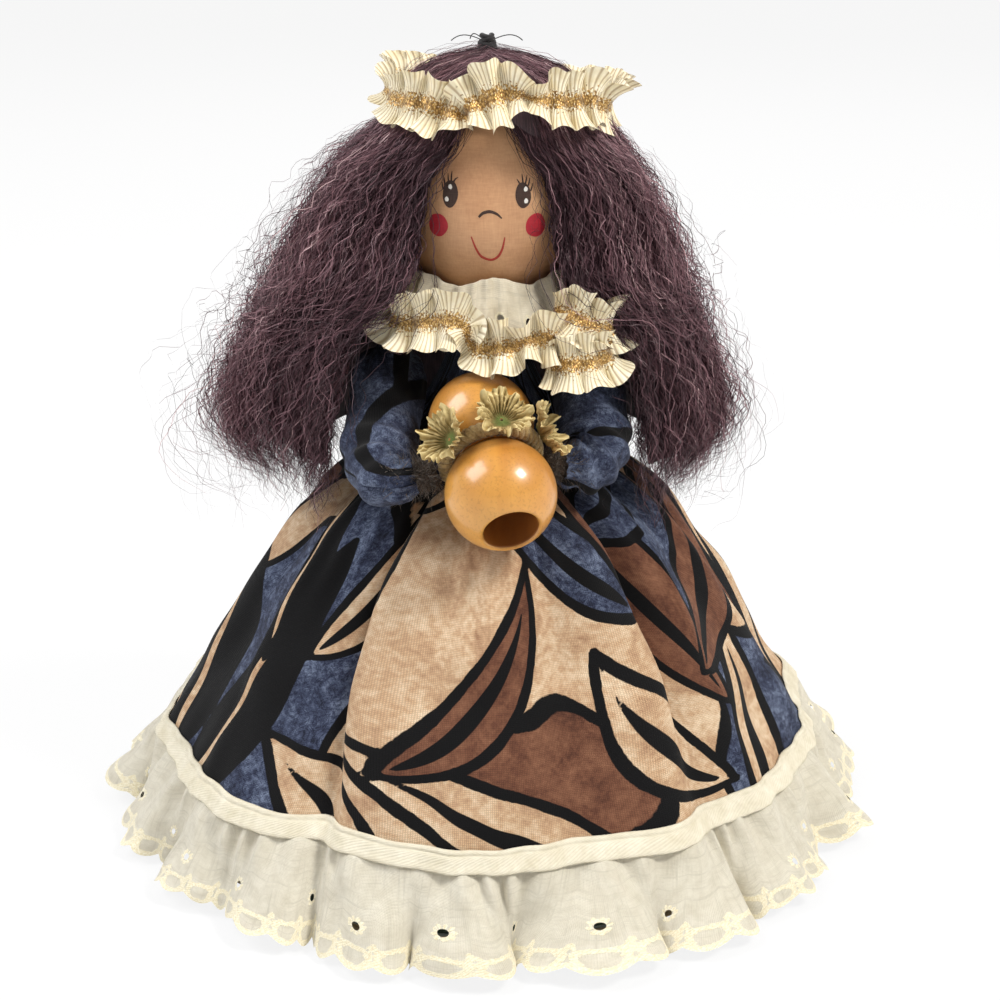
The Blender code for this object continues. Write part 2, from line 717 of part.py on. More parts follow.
def make_hair_fall(name, side, material, pivot):
    """A hank of hair: side -1 or 1 hangs beside the face, 0 hangs behind."""
    columns = 12 if side == 0 else 10
    rows = 10
    meeting = math.radians(SIDE_HAIR_BACK)
    seam = CLEARANCE / CROWN_RADIUS
    bm = bmesh.new()
    bmesh.ops.create_grid(bm, x_segments=columns, y_segments=rows, size=1)
    face_side = list(bm.faces)
    grown = bmesh.ops.extrude_face_region(bm, geom=face_side, use_keep_orig=True)
    outer = [part for part in grown["geom"] if isinstance(part, bmesh.types.BMVert)]
    bmesh.ops.translate(bm, verts=outer, vec=(0, 0, 1))
    for point in bm.verts:
        across = (point.co.x + 1) / 2
        down = (point.co.y + 1) / 2
        height = CROWN_BOTTOM - CLEARANCE + (HAIR_END_HEIGHT - CROWN_BOTTOM) * down
        if side == 0:
            azimuth = meeting + seam + (math.tau - 2 * meeting - 2 * seam) * across
        else:
            azimuth = side * (hair_front(height) + (meeting - hair_front(height)) * across)
        tip = LOCK_TIP * math.cos(LOCK_COUNT / 2 * azimuth) * ease(0.85, 1.0, down)
        radius = hair_outside(azimuth, height) if point.co.z > 0.5 else hair_inside(height)
        point.co = polar(azimuth, radius, height + tip)
    finish_piece(name, bm, material, pivot)


# Drum and arms


def drum_direction():
    """The drum's axis, from the upper gourd to the lower."""
    tilt = math.radians(DRUM_TILT)
    yaw = math.radians(DRUM_YAW)
    return Vector((math.sin(yaw) * math.cos(tilt), -math.cos(yaw) * math.cos(tilt), -math.sin(tilt)))


def gourd_half_length(radius):
    return math.sqrt(radius**2 - (GOURD_BORE_RADIUS + GOURD_LIP) ** 2)


def drum_places():
    """Centres of the upper gourd, the waist and the lower gourd, resting just clear of the skirt."""
    axis = drum_direction()
    upper_half = gourd_half_length(UPPER_GOURD_RADIUS)
    lower_half = gourd_half_length(LOWER_GOURD_RADIUS)
    height = NECK_LEI_BOTTOM - DRUM_LEI_GAP - UPPER_GOURD_RADIUS
    upper = Vector((UPPER_GOURD_X, -UPPER_GOURD_RADIUS, height))
    while True:
        waist = upper + axis * (upper_half + CLEARANCE / 2)
        lower = waist + axis * (lower_half + CLEARANCE / 2)
        upper_clear = clear_of_dress(upper, UPPER_GOURD_RADIUS, DRUM_SKIRT_GAP)
        if upper_clear and clear_of_dress(lower, LOWER_GOURD_RADIUS, DRUM_SKIRT_GAP):
            return upper, waist, lower
        upper.y -= SEARCH_STEP


def make_gourd(name, centre, radius, material, pivot):
    half = gourd_half_length(radius)
    steps = 12
    outline = [(GOURD_BORE_RADIUS, -half)]
    start = math.atan2(half, GOURD_BORE_RADIUS + GOURD_LIP)
    for step in range(steps + 1):
        turn = -start + 2 * start * step / steps
        outline.append((radius * math.cos(turn), radius * math.sin(turn)))
    outline.append((GOURD_BORE_RADIUS, half))
    bm = turn_outline(outline, TUBE_SIDES * 2, True)
    place_on_drum(bm, centre)
    finish_piece(name, bm, material, pivot)


def place_on_drum(bm, centre):
    turn = drum_direction().to_track_quat("Z", "Y").to_matrix().to_4x4()
    bmesh.ops.transform(bm, verts=bm.verts, matrix=Matrix.Translation(centre) @ turn)


def make_peg(waist, material, pivot):
    radius = GOURD_BORE_RADIUS - CLEARANCE
    half = PEG_LENGTH / 2
    bm = turn_outline([(0, -half), (radius, -half), (radius, half), (0, half)], TUBE_SIDES * 2, False)
    place_on_drum(bm, waist)
    finish_piece("ipu_peg", bm, material, pivot)


def garland_radius():
    """Ring that lies in the groove between the gourds, just clear of both."""
    gap = GARLAND_THICKNESS + CLEARANCE
    reach = 0.0
    for radius in (UPPER_GOURD_RADIUS, LOWER_GOURD_RADIUS):
        offset = gourd_half_length(radius) + CLEARANCE / 2
        reach = max(reach, math.sqrt((radius + gap) ** 2 - offset**2))
    return reach


def make_garland(waist, material, pivot):
    outline = round_outline(GARLAND_THICKNESS, garland_radius(), 0)
    bm = turn_outline(outline, TUBE_SIDES * 2, True)
    place_on_drum(bm, waist)
    finish_piece("ipu_garland", bm, material, pivot)


def drum_side():
    """Level direction across the drum, towards the doll's left."""
    return drum_direction().cross(Vector((0, 0, 1))).normalized() * -1


def out_of_drum(angle):
    """Direction square to the drum's axis at an angle from its top, positive to the doll's left."""
    turn = math.radians(angle)
    top = drum_direction().cross(drum_side())
    return top * math.cos(turn) + drum_side() * math.sin(turn)


def make_flower(name, angle, waist, material, pivot):
    """A cupped straw flower whose stalk rests on the garland."""
    outward = out_of_drum(angle)
    foot = garland_radius() + GARLAND_THICKNESS + CLEARANCE
    dish = max(foot + FLOWER_WALL, LOWER_GOURD_RADIUS + CLEARANCE + FLOWER_WALL)
    stalk = dish - foot
    face = [(0, 0), (0.45 * FLOWER_RADIUS, 0.15 * FLOWER_CUP), (FLOWER_RADIUS, FLOWER_CUP)]
    back = [(radius, height - FLOWER_WALL) for radius, height in face[::-1]]
    back[-1] = (FLOWER_STALK_RADIUS, -FLOWER_WALL)
    outline = face + back + [(FLOWER_STALK_RADIUS, -stalk), (0, -stalk)]
    bm = turn_outline(outline, FLOWER_PETALS * 3, False)

    def move(azimuth, radius, height):
        share = max(0.0, radius / FLOWER_RADIUS - 0.45)
        petal = math.cos(FLOWER_PETALS * azimuth)
        return radius + FLOWER_PETAL_DEPTH * share * petal, height - FLOWER_PETAL_DEPTH * share * petal

    drape(bm, move)
    turn = outward.to_track_quat("Z", "Y").to_matrix().to_4x4()
    place = Matrix.Translation(waist + outward * dish)
    bmesh.ops.transform(bm, verts=bm.verts, matrix=place @ turn)
    finish_piece(name, bm, material, pivot)


def shoulder_place(side):
    """Centre of the shoulder, on the arms' axis and just clear of the dress."""
    place = Vector((DRESS_SHOULDER_RADIUS, -SHOULDER_FORWARD, SHOULDER_HEIGHT))
    while not clear_of_dress(place, SLEEVE_SHOULDER_RADIUS, CLEARANCE):
        place.x += SEARCH_STEP
    place.x *= side
    return place


def arm_path(side, waist):
    """Places along the arm's middle line, from the shoulder round the elbow to the cuff."""
    shoulder = shoulder_place(side)
    elbow = shoulder + Vector((side * ELBOW_OUT, -ELBOW_FORWARD, -ELBOW_DROP))
    while not clear_of_dress(elbow, SLEEVE_ELBOW_RADIUS, CLEARANCE):
        elbow.x += side * SEARCH_STEP
    out = out_of_drum(side * HAND_ANGLE)
    cuff = waist + out * CUFF_REACH
    lead = cuff + out * CUFF_LEAD
    places = []
    steps = 9
    for step in range(steps + 1):
        t = step / steps
        upper_arm = shoulder * (1 - t) ** 3 + elbow * 3 * t * (1 - t) ** 2
        places.append(upper_arm + lead * 3 * t * t * (1 - t) + cuff * t**3)
    return places


def path_rings(places, radii):
    rings = []
    for index, place in enumerate(places):
        run = places[min(index + 1, len(places) - 1)] - places[max(index - 1, 0)]
        rings.append((place, run.normalized(), radii[index]))
    return rings


def sleeve_radius(share):
    outline = [
        (0.0, SLEEVE_SHOULDER_RADIUS),
        (0.3, SLEEVE_PUFF_RADIUS),
        (0.6, SLEEVE_ELBOW_RADIUS),
        (1.0, STEM_RADIUS + CLEARANCE + SLEEVE_WALL),
    ]
    return smooth_curve(outline, share)


def make_sleeve(name, side, waist, material, pivot):
    places = arm_path(side, waist)
    last = len(places) - 1
    outer = path_rings(places, [sleeve_radius(index / last) for index in range(last + 1)])
    inner = [(place, run, radius - SLEEVE_WALL) for place, run, radius in outer]
    domed = []
    for share in (0.95, 0.7, 0.0):
        drop = SLEEVE_SHOULDER_RADIUS * share
        radius = math.sqrt(SLEEVE_SHOULDER_RADIUS**2 - drop**2)
        place, run, _ = outer[0]
        domed.append((place - run * drop, run, radius))
    lining = [(place, run, radius - SLEEVE_WALL) for place, run, radius in domed[1:]]
    rings = domed + outer[1:] + inner[1:][::-1] + lining[::-1]
    finish_piece(name, loft_rings(rings), material, pivot)


def make_stem(name, side, waist, material, pivot):
    places = arm_path(side, waist)
    hand = garland_radius() + GARLAND_THICKNESS + CLEARANCE
    tip = waist + out_of_drum(side * HAND_ANGLE) * hand
    places = places[1:] + [tip + (places[-1] - tip) * 0.3, tip]
    radii = [STEM_RADIUS] * (len(places) - 1) + [0.7 * STEM_RADIUS]
    finish_piece(name, loft_rings(path_rings(places, radii)), material, pivot)


def build():
    remove_old_objects()
    card = make_material("card", (0.62, 0.52, 0.38), 0.85)
    foam = make_material("foam", (0.045, 0.075, 0.045), 0.9)
    plain_wood = make_material("plain_wood", (0.72, 0.53, 0.32), 0.6)
    flesh_paint = make_material("flesh_paint", (0.62, 0.40, 0.27), 0.55)
    print_cotton = make_material("print_cotton", (0.24, 0.24, 0.28), 0.9)
    cream_cotton = make_material("cream_cotton", (0.86, 0.82, 0.72), 0.9)
    ribbon = make_material("ribbon", (0.88, 0.80, 0.63), 0.6)
    hair = make_material("hair", (0.10, 0.055, 0.06), 0.5)
    thread = make_material("thread", (0.02, 0.02, 0.02), 0.7)
    varnish = make_material("varnished_wood", (0.70, 0.38, 0.11), 0.25)
    straw = make_material("straw", (0.52, 0.42, 0.22), 0.9)
    chenille = make_material("chenille", (0.20, 0.12, 0.07), 0.95)

    make_base(card)
    make_cone(foam)
    make_dowel(plain_wood)
    make_dress(print_cotton)
    make_tape(cream_cotton)
    make_ruffle(cream_cotton)
    make_collar(cream_cotton)
    make_neck_lei(ribbon)

    neck = make_pivot("head_pivot", (0, 0, HEAD_BOTTOM))
    make_head(flesh_paint, neck)
    make_crown(hair, neck)
    make_tie(thread, neck)
    make_head_lei(ribbon, neck)
    for name, side in (("hair_fall_right", -1), ("hair_fall_left", 1), ("hair_fall_back", 0)):
        make_hair_fall(name, side, hair, neck)

    shoulders = make_pivot("arms_pivot", (0, -SHOULDER_FORWARD, SHOULDER_HEIGHT))
    upper, waist, lower = drum_places()
    make_gourd("ipu_upper_gourd", upper, UPPER_GOURD_RADIUS, varnish, shoulders)
    make_gourd("ipu_lower_gourd", lower, LOWER_GOURD_RADIUS, varnish, shoulders)
    make_peg(waist, plain_wood, shoulders)
    make_garland(waist, straw, shoulders)
    for name, angle in FLOWERS:
        make_flower(name, angle, waist, straw, shoulders)
    for name, side in (("right", -1), ("left", 1)):
        make_sleeve("sleeve_" + name, side, waist, print_cotton, shoulders)
        make_stem("arm_stem_" + name, side, waist, chenille, shoulders)


build()
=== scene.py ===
import math

import bmesh
import bpy
import numpy as np
from mathutils import Matrix, Vector


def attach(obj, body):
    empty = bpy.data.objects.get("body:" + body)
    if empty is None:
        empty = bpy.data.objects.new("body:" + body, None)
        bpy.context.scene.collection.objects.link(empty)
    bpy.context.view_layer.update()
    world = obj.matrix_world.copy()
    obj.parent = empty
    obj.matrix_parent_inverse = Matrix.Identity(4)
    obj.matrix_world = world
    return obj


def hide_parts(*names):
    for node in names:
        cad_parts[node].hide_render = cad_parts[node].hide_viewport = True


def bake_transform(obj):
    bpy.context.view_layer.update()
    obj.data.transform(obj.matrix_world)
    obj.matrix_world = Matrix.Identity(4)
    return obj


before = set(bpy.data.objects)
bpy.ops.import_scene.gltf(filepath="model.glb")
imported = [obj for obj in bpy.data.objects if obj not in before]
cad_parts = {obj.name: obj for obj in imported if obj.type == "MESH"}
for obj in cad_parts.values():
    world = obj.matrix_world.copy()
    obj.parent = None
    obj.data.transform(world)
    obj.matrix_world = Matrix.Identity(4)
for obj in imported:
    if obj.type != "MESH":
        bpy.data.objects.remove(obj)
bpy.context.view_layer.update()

# Hula girl doll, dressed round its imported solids. The doll faces -Y, its own right hand is at -X, and an
# azimuth is counted from the front towards its left (+X). Sizes are in millimetres until a point is placed.
MM = 0.001
SEAM = 0.002 * MM  # points nearer than this are one

# Head
HEAD_WIDEST = 158.0
HEAD_RADIUS = 21.5
HEAD_LOWER = 23.0
HEAD_UPPER = 34.0
HEAD_BOTTOM = 135.0
HEAD_TOP = 192.0
HEAD_BORE = 5.05
BORE_DEPTH = 25.0

# Dress, with heights and radii up its profile
DRESS_PROFILE = ((24, 85), (82, 48.5), (100, 26), (117, 13), (134, 6.25))
HEM = 24.0
HEM_RADIUS = 85.0
HIP = 82.0
YOKE = 107.0
SHOULDER = 117.0
DRESS_TOP = 134.0
# Each main fold: azimuth in degrees, depth at the hip, half width in degrees
MAIN_FOLDS = (
    (-28, 10.5, 7), (17, 2.8, 6), (39, 8.0, 7), (67, 3.5, 6), (90, 6.5, 9),
    (140, 7.0, 9), (175, 5.5, 9), (-141, 7.0, 9), (-100, 6.5, 9), (-73, 3.5, 6),
)
FOLD_AT_HEM = 0.35
# Cloth that hangs over a fold: azimuth and half width in degrees, and how far it is pulled sideways
OVERHANGS = ((-20.5, 6.5, -9.5), (32, 6.5, 7.5), (-65, 6, 5), (60, 6, -4))
GATHERS = 13
PRINT_RADIUS = 75.0  # radius at which the print is as wide as on the flat cloth
OUTLINE = 1.35  # half width of the print's black lines
NAVY_BELOW = -0.3  # ground values at which the print changes colour
BROWN_ABOVE = 1.05
NAVY, BROWN, TAN, BLACK = range(4)
SLEEVE_PROFILE = ((0, 9.5), (0.3, 9.6), (0.6, 8.2), (0.93, 5.2), (1.0, 4.4))

# Lace, collar and ribbon, with lengths and widths measured flat
LACE_WIDTH = 27.0
LACE_LENGTH = 690.0
LACE_FLARE = 11.5  # how far the edge stands out from the hem
LACE_WAVE = 6.0  # depth of the waves at the edge
SCALLOPS = 96
EYELETS = 32
EYELET_RADIUS = 0.9
COLLAR_WIDTH = 26.0
COLLAR_LENGTH = 170.0
COLLAR_EYELETS = 24
RIBBON_WIDTH = 13.0
PLEAT = 5.8

# Hair, with its half width, the front edge in degrees and the radius of its lining at each height
CROWN_BOTTOM = 178.0
HAIR_END = 90.0
HAIR_WIDTH = ((90, 54), (103, 65), (136, 53.5), (161, 41), (178, 31))
HAIR_FRONT = (
    (90, 62), (120, 58), (136, 54), (142, 45), (147, 38.5),
    (152, 40), (158, 43), (165, 42), (172, 38), (178, 25),
)
HAIR_LINING = ((90, 44.1), (130.5, 40.1), (146, 29.0), (158, 22.3))
HAIR_LEAN = 4.0
HAIR_BACK_SHARE = 0.72
HAIR_MEETING = math.radians(126)  # azimuth at which the side hanks meet the back one
HAIR_POINTS = 80
CROWN_POINTS = 10
STRANDS_IN_LOCK = 14
# Each layer of strands: name, count, lanes from the front to the back, depths, seed and wildness
HAIR_LAYERS = (
    ("front", 1000, (0.0, 0.34), (0.45, 1.0), 101, 0.0),
    ("side", 740, (0.2, 0.62), (0.7, 1.02), 102, 0.0),
    ("back", 440, (0.55, 1.0), (0.75, 1.02), 103, 0.0),
    ("veil", 1000, (0.0, 0.7), (0.85, 1.06), 104, 0.4),
    ("loose", 460, (0.0, 1.0), (0.85, 1.12), 105, 1.0),
    ("stray", 80, (0.0, 1.0), (0.95, 1.2), 106, 1.8),
)

# Face, as x and z on the front of the head
LASHES = (
    ((-10.39, 167.9), (-10.6, 168.8), (-10.72, 169.6)),
    ((-9.96, 168.8), (-10.05, 169.8), (-10.12, 170.7)),
    ((-9.1, 169.5), (-9.2, 170.7), (-9.24, 171.7)),
    ((-8.45, 169.8), (-8.4, 171.2), (-8.28, 172.3)),
    ((-8.0, 169.7), (-7.5, 170.5), (-6.8, 171.0)),
    ((8.0, 169.0), (7.5, 169.9), (7.05, 170.6)),
    ((8.55, 169.4), (8.42, 170.6), (8.28, 171.7)),
    ((9.1, 169.3), (9.35, 170.4), (9.5, 171.35)),
    ((9.8, 168.8), (10.05, 169.8), (10.18, 170.6)),
    ((10.38, 167.5), (10.7, 168.5), (10.88, 169.3)),
)
LASH_WIDTHS = (0.42, 0.34, 0.14)
NOSE = ((-1.95, 161.95), (-0.8, 162.95), (0.6, 163.25), (2.2, 162.75), (3.55, 161.6))
NOSE_WIDTHS = (0.55, 0.75, 0.75, 0.6, 0.3)
MOUTH = (
    (-3.75, 157.2), (-2.6, 154.2), (-1.25, 152.2), (0.95, 151.4),
    (2.6, 152.2), (3.75, 154.5), (4.25, 157.0),
)
MOUTH_WIDTHS = (0.3, 0.5, 0.62, 0.6, 0.62, 0.5, 0.28)
PAINT_LIFT = 0.05  # how far the paint stands off the wood
EYE_LIGHTS = ((-8.68, 168.7), (-9.52, 165.75), (9.17, 168.1), (9.26, 165.35))

# Drum and arms
DRUM_WAIST = np.array((0.9, -41.1, 108.3))
HOLD_TURN = 106  # degrees from the drum's top round to where each hand holds it
GOURD_BORE = 6.5
GOURD_LIP = 0.9
CUFF_REACH = 18.5  # how far the cuffs and the stems' tips are from the drum's middle line
TIP_REACH = 13.3
STEM_RADIUS = 2.5
FUZZ_COUNT = 1800
FUZZ_START = 2.2
FUZZ_LENGTH = 2.6
FUZZ_WIDTH = 0.14
DRUM_AXIS = Vector((0.2207, -0.8236, -0.5225)).normalized()
DRUM_SIDE = Vector((0.9659, 0.2588, 0.0))
DRUM_UP = DRUM_AXIS.cross(DRUM_SIDE)
HANDS = (("right", -1), ("left", 1))

# Camera, light and floor, in metres and watts
CAMERA_PLACE = (0.0031, -0.520, 0.271)
CAMERA_TILT = 70.1
CAMERA_LENS = 76.68
# Each lamp: name, place, size, power and colour
LAMPS = (
    ("key", (0.74, -0.34, 1.02), 0.3, 13.5, (1.0, 0.98, 0.94)),
    ("window", (-0.72, -0.1, 0.85), 0.6, 8.5, (0.97, 0.98, 1.0)),
    ("back", (0.1, 0.9, 0.8), 0.9, 3.0, (1.0, 1.0, 1.0)),
)
LAMP_AIM = Vector((0, 0, 0.09))
WORLD_LIGHT = 0.36
FLOOR_REACH = 15.0
FLOOR_FLAT = 6.0
FLOOR_SLOPE = 0.36
FLOOR_GLOW = 0.87


# Shape tools


def smooth_curve(points, at):
    """Read a curve that goes through (height, size) points without overshooting them."""
    points = sorted(points)
    xs = np.array([point[0] for point in points], float)
    ys = np.array([point[1] for point in points], float)
    rises = np.diff(ys) / np.diff(xs)
    slopes = np.concatenate([rises[:1], np.zeros(len(xs) - 2), rises[-1:]])
    for k in range(1, len(xs) - 1):
        before, after = rises[k - 1], rises[k]
        slopes[k] = 2 * before * after / (before + after) if before * after > 0 else 0.0
    at = np.clip(np.asarray(at, float), xs[0], xs[-1])
    k = np.clip(np.searchsorted(xs, at) - 1, 0, len(xs) - 2)
    span = xs[k + 1] - xs[k]
    t = (at - xs[k]) / span
    start = ys[k] * (1 + 2 * t) * (1 - t) ** 2 + slopes[k] * span * t * (1 - t) ** 2
    return start + ys[k + 1] * t * t * (3 - 2 * t) + slopes[k + 1] * span * t * t * (t - 1)


def ease(low, high, at):
    t = np.clip((at - low) / (high - low), 0, 1)
    return t * t * (3 - 2 * t)


def polar(azimuth, radius, height):
    height = height + np.zeros_like(azimuth)
    return np.stack([radius * np.sin(azimuth), -radius * np.cos(azimuth), height], -1)


def ripple(seed, across, up, length):
    """Smooth random undulation between about -1 and 1, with bumps of about a length."""
    waves = 9
    rng = np.random.default_rng(seed)
    total = np.zeros_like(np.asarray(across, float))
    for _ in range(waves):
        turn = rng.uniform(0, math.tau)
        pitch = math.tau / (length * rng.uniform(0.7, 1.6))
        run = across * math.cos(turn) + up * math.sin(turn)
        total += np.sin(run * pitch + rng.uniform(0, math.tau))
    return total / math.sqrt(waves)


def unit(vectors):
    return vectors / np.linalg.norm(vectors, axis=-1)[..., None]


def egg_radius(height):
    rise = np.asarray(height, float) - HEAD_WIDEST
    reach = np.where(rise < 0, HEAD_LOWER, HEAD_UPPER)
    return HEAD_RADIUS * np.sqrt(np.clip(1 - (rise / reach) ** 2, 0, 1))


def dress_radius(height):
    return smooth_curve(DRESS_PROFILE, height)


def turn_between(azimuth, centre):
    return (azimuth - centre + math.pi) % math.tau - math.pi


def dress_fold(azimuth, height):
    grown = ease(SHOULDER, HIP, height)
    depth = FOLD_AT_HEM + (1 - FOLD_AT_HEM) * ease(HEM, HIP, height)
    inward = 0.0
    for centre, fold_depth, width in MAIN_FOLDS:
        share = turn_between(azimuth, math.radians(centre)) / math.radians(width)
        inward = inward + fold_depth * np.exp(-share * share)
    return grown * depth * (np.cos(GATHERS * azimuth) - inward)


# Pieces


def put(name, mesh, *finishes):
    """A mesh in world places becomes a smooth piece."""
    mesh.shade_smooth()
    for finish in finishes:
        mesh.materials.append(finish)
    thing = bpy.data.objects.new(name, mesh)
    bpy.context.scene.collection.objects.link(thing)
    return thing


def set_points(mesh, points):
    mesh.vertices.foreach_set("co", (np.asarray(points) * MM).astype(np.float32).ravel())
    mesh.update()


def set_field(mesh, name, values):
    field = mesh.attributes.new(name, "FLOAT", "POINT")
    field.data.foreach_set("value", np.asarray(values, np.float32))


def read_points(mesh):
    points = np.empty(len(mesh.vertices) * 3, np.float32)
    mesh.vertices.foreach_get("co", points)
    return points.reshape(-1, 3)


def lay_flat(mesh, laid):
    """Keep each point's place on the flat cloth as the mesh's own map."""
    corner = np.empty(len(mesh.loops), np.int32)
    mesh.loops.foreach_get("vertex_index", corner)
    layer = mesh.uv_layers.new(name="flat")
    layer.data.foreach_set("uv", laid[corner].astype(np.float32).ravel())


def mesh_of(name, bm):
    mesh = bpy.data.meshes.new(name)
    bm.to_mesh(mesh)
    bm.free()
    return mesh


def reshape(mesh, change):
    """Run a change on a mesh that is already made."""
    bm = bmesh.new()
    bm.from_mesh(mesh)
    change(bm)
    bm.to_mesh(mesh)
    bm.free()


def close_seams(bm):
    bmesh.ops.remove_doubles(bm, verts=bm.verts, dist=SEAM)


def face_out(bm):
    bmesh.ops.recalc_face_normals(bm, faces=bm.faces)


def cloth(name, columns, rows, place, finish, flat, closed=True, fields=None, cut=None):
    """A grid of cloth. place takes the shares round (u) and up (v) and gives points in millimetres, flat
    gives the same places on the flat cloth, fields gives values for the finish, and cut trims the mesh."""
    bm = bmesh.new()
    bmesh.ops.create_grid(bm, x_segments=columns, y_segments=rows, size=0.5)
    mesh = mesh_of(name, bm)
    grid = read_points(mesh).astype(float) + 0.5
    u, v = grid[:, 0], grid[:, 1]
    set_points(mesh, place(u, v))
    lay_flat(mesh, np.stack(flat(u, v), 1))
    for field, values in (fields(u, v) if fields else {}).items():
        set_field(mesh, field, values)
    if cut:
        cut(mesh, u, v)
    if closed:
        reshape(mesh, close_seams)
    return put(name, mesh, finish)


def tube(name, path, radius, sides, finish, closed=False):
    """A round cord of thread, straw or chenille along a path of points."""
    path = np.asarray(path, float)
    if closed:
        run = np.roll(path, -1, 0) - np.roll(path, 1, 0)
    else:
        run = np.gradient(path, axis=0)
    run = unit(run)
    side = np.cross(run[0], (0.31, 0.17, 0.93))
    frames = []
    for step in run:
        side = side - step * side.dot(step)
        side /= np.linalg.norm(side)
        frames.append((side, np.cross(step, side)))
    frames = np.array(frames)
    if closed:
        path = np.concatenate([path, path[:1]])
        frames = np.concatenate([frames, frames[:1]])
    last = len(path) - 1
    radii = np.broadcast_to(radius, (len(path),))

    def place(u, v):
        at = np.clip(np.rint(v * last).astype(int), 0, last)
        turn = u * math.tau
        out = frames[at, 0] * np.cos(turn)[:, None] + frames[at, 1] * np.sin(turn)[:, None]
        return path[at] + out * radii[at][:, None]

    length = np.linalg.norm(np.diff(path, axis=0), axis=1).sum()
    girth = math.tau * float(np.mean(radii))
    return cloth(name, sides, last, place, finish, lambda u, v: (u * girth, v * length))


# Finishes


def tone(red, green, blue):
    """A colour as it is seen on a screen, from 0 to 255, as light."""
    parts = [part / 255 for part in (red, green, blue)]
    return tuple(p / 12.92 if p <= 0.04045 else ((p + 0.055) / 1.055) ** 2.4 for p in parts) + (1.0,)


def feed(tree, socket, value):
    if isinstance(value, bpy.types.NodeSocket):
        tree.links.new(value, socket)
    else:
        socket.default_value = value


def connect(tree, target, **sockets):
    """Feed sockets of a node by their names, with an underscore for each space."""
    for name, value in sockets.items():
        feed(tree, target.inputs[name.replace("_", " ")], value)


def node(tree, kind, settings=None, **sockets):
    made = tree.nodes.new(kind)
    for name, value in (settings or {}).items():
        setattr(made, name, value)
    connect(tree, made, **sockets)
    return made


def start_finish(name, colour, roughness, **sockets):
    material = bpy.data.materials.new(name)
    material.use_nodes = True
    tree = material.node_tree
    shader = tree.nodes["Principled BSDF"]
    connect(tree, shader, Base_Color=colour, Roughness=roughness, **sockets)
    return material, tree, shader


def coords(tree, kind, scale=(1, 1, 1), turn=(0, 0, 0)):
    out = tree.nodes.new("ShaderNodeTexCoord").outputs[kind]
    return node(tree, "ShaderNodeMapping", Vector=out, Scale=scale, Rotation=turn).outputs["Vector"]


def field_of(tree, name):
    return node(tree, "ShaderNodeAttribute", {"attribute_name": name}).outputs["Fac"]


def noise(tree, vector, scale, detail=4.0, roughness=0.55, distortion=0.0):
    made = node(tree, "ShaderNodeTexNoise", Vector=vector, Scale=scale, Detail=detail,
                Roughness=roughness, Distortion=distortion)
    return made.outputs["Fac"]


def bands(tree, vector, scale, direction="X", distortion=0.0, detail=0.0):
    made = node(tree, "ShaderNodeTexWave", {"wave_type": "BANDS", "bands_direction": direction},
                Vector=vector, Scale=scale, Distortion=distortion, Detail=detail)
    return made.outputs["Fac"]


def calc(tree, operation, first, second=0.0, third=None):
    made = node(tree, "ShaderNodeMath", {"operation": operation})
    feed(tree, made.inputs[0], first)
    feed(tree, made.inputs[1], second)
    if third is not None:
        feed(tree, made.inputs[2], third)
    return made.outputs[0]


def between(tree, value, low, high, start=0.0, end=1.0):
    made = node(tree, "ShaderNodeMapRange", Value=value, From_Min=low, From_Max=high,
                To_Min=start, To_Max=end)
    return made.outputs["Result"]


def ramp(tree, value, *stops):
    made = node(tree, "ShaderNodeValToRGB", Fac=value)
    bar = made.color_ramp.elements
    while len(bar) < len(stops):
        bar.new(0.5)
    for stop, (place, colour) in zip(bar, stops):
        stop.position = place
        stop.color = colour
    return made.outputs["Color"]


def mix(tree, share, first, second, how="MIX"):
    made = node(tree, "ShaderNodeMix", {"data_type": "RGBA", "blend_type": how})
    feed(tree, made.inputs[0], share)
    feed(tree, made.inputs[6], first)
    feed(tree, made.inputs[7], second)
    return made.outputs[2]


def bump(tree, shader, height, strength, distance):
    made = node(tree, "ShaderNodeBump", Height=height, Strength=strength, Distance=distance)
    tree.links.new(made.outputs["Normal"], shader.inputs["Normal"])


def weave(tree, vector, pitch):
    """Plain weave with threads of a pitch, on flat cloth measured in millimetres."""
    scale = math.tau / 20 / pitch
    warp = bands(tree, vector, scale, "X", 0.6)
    weft = bands(tree, vector, scale, "Y", 0.6)
    return calc(tree, "MULTIPLY", warp, weft)


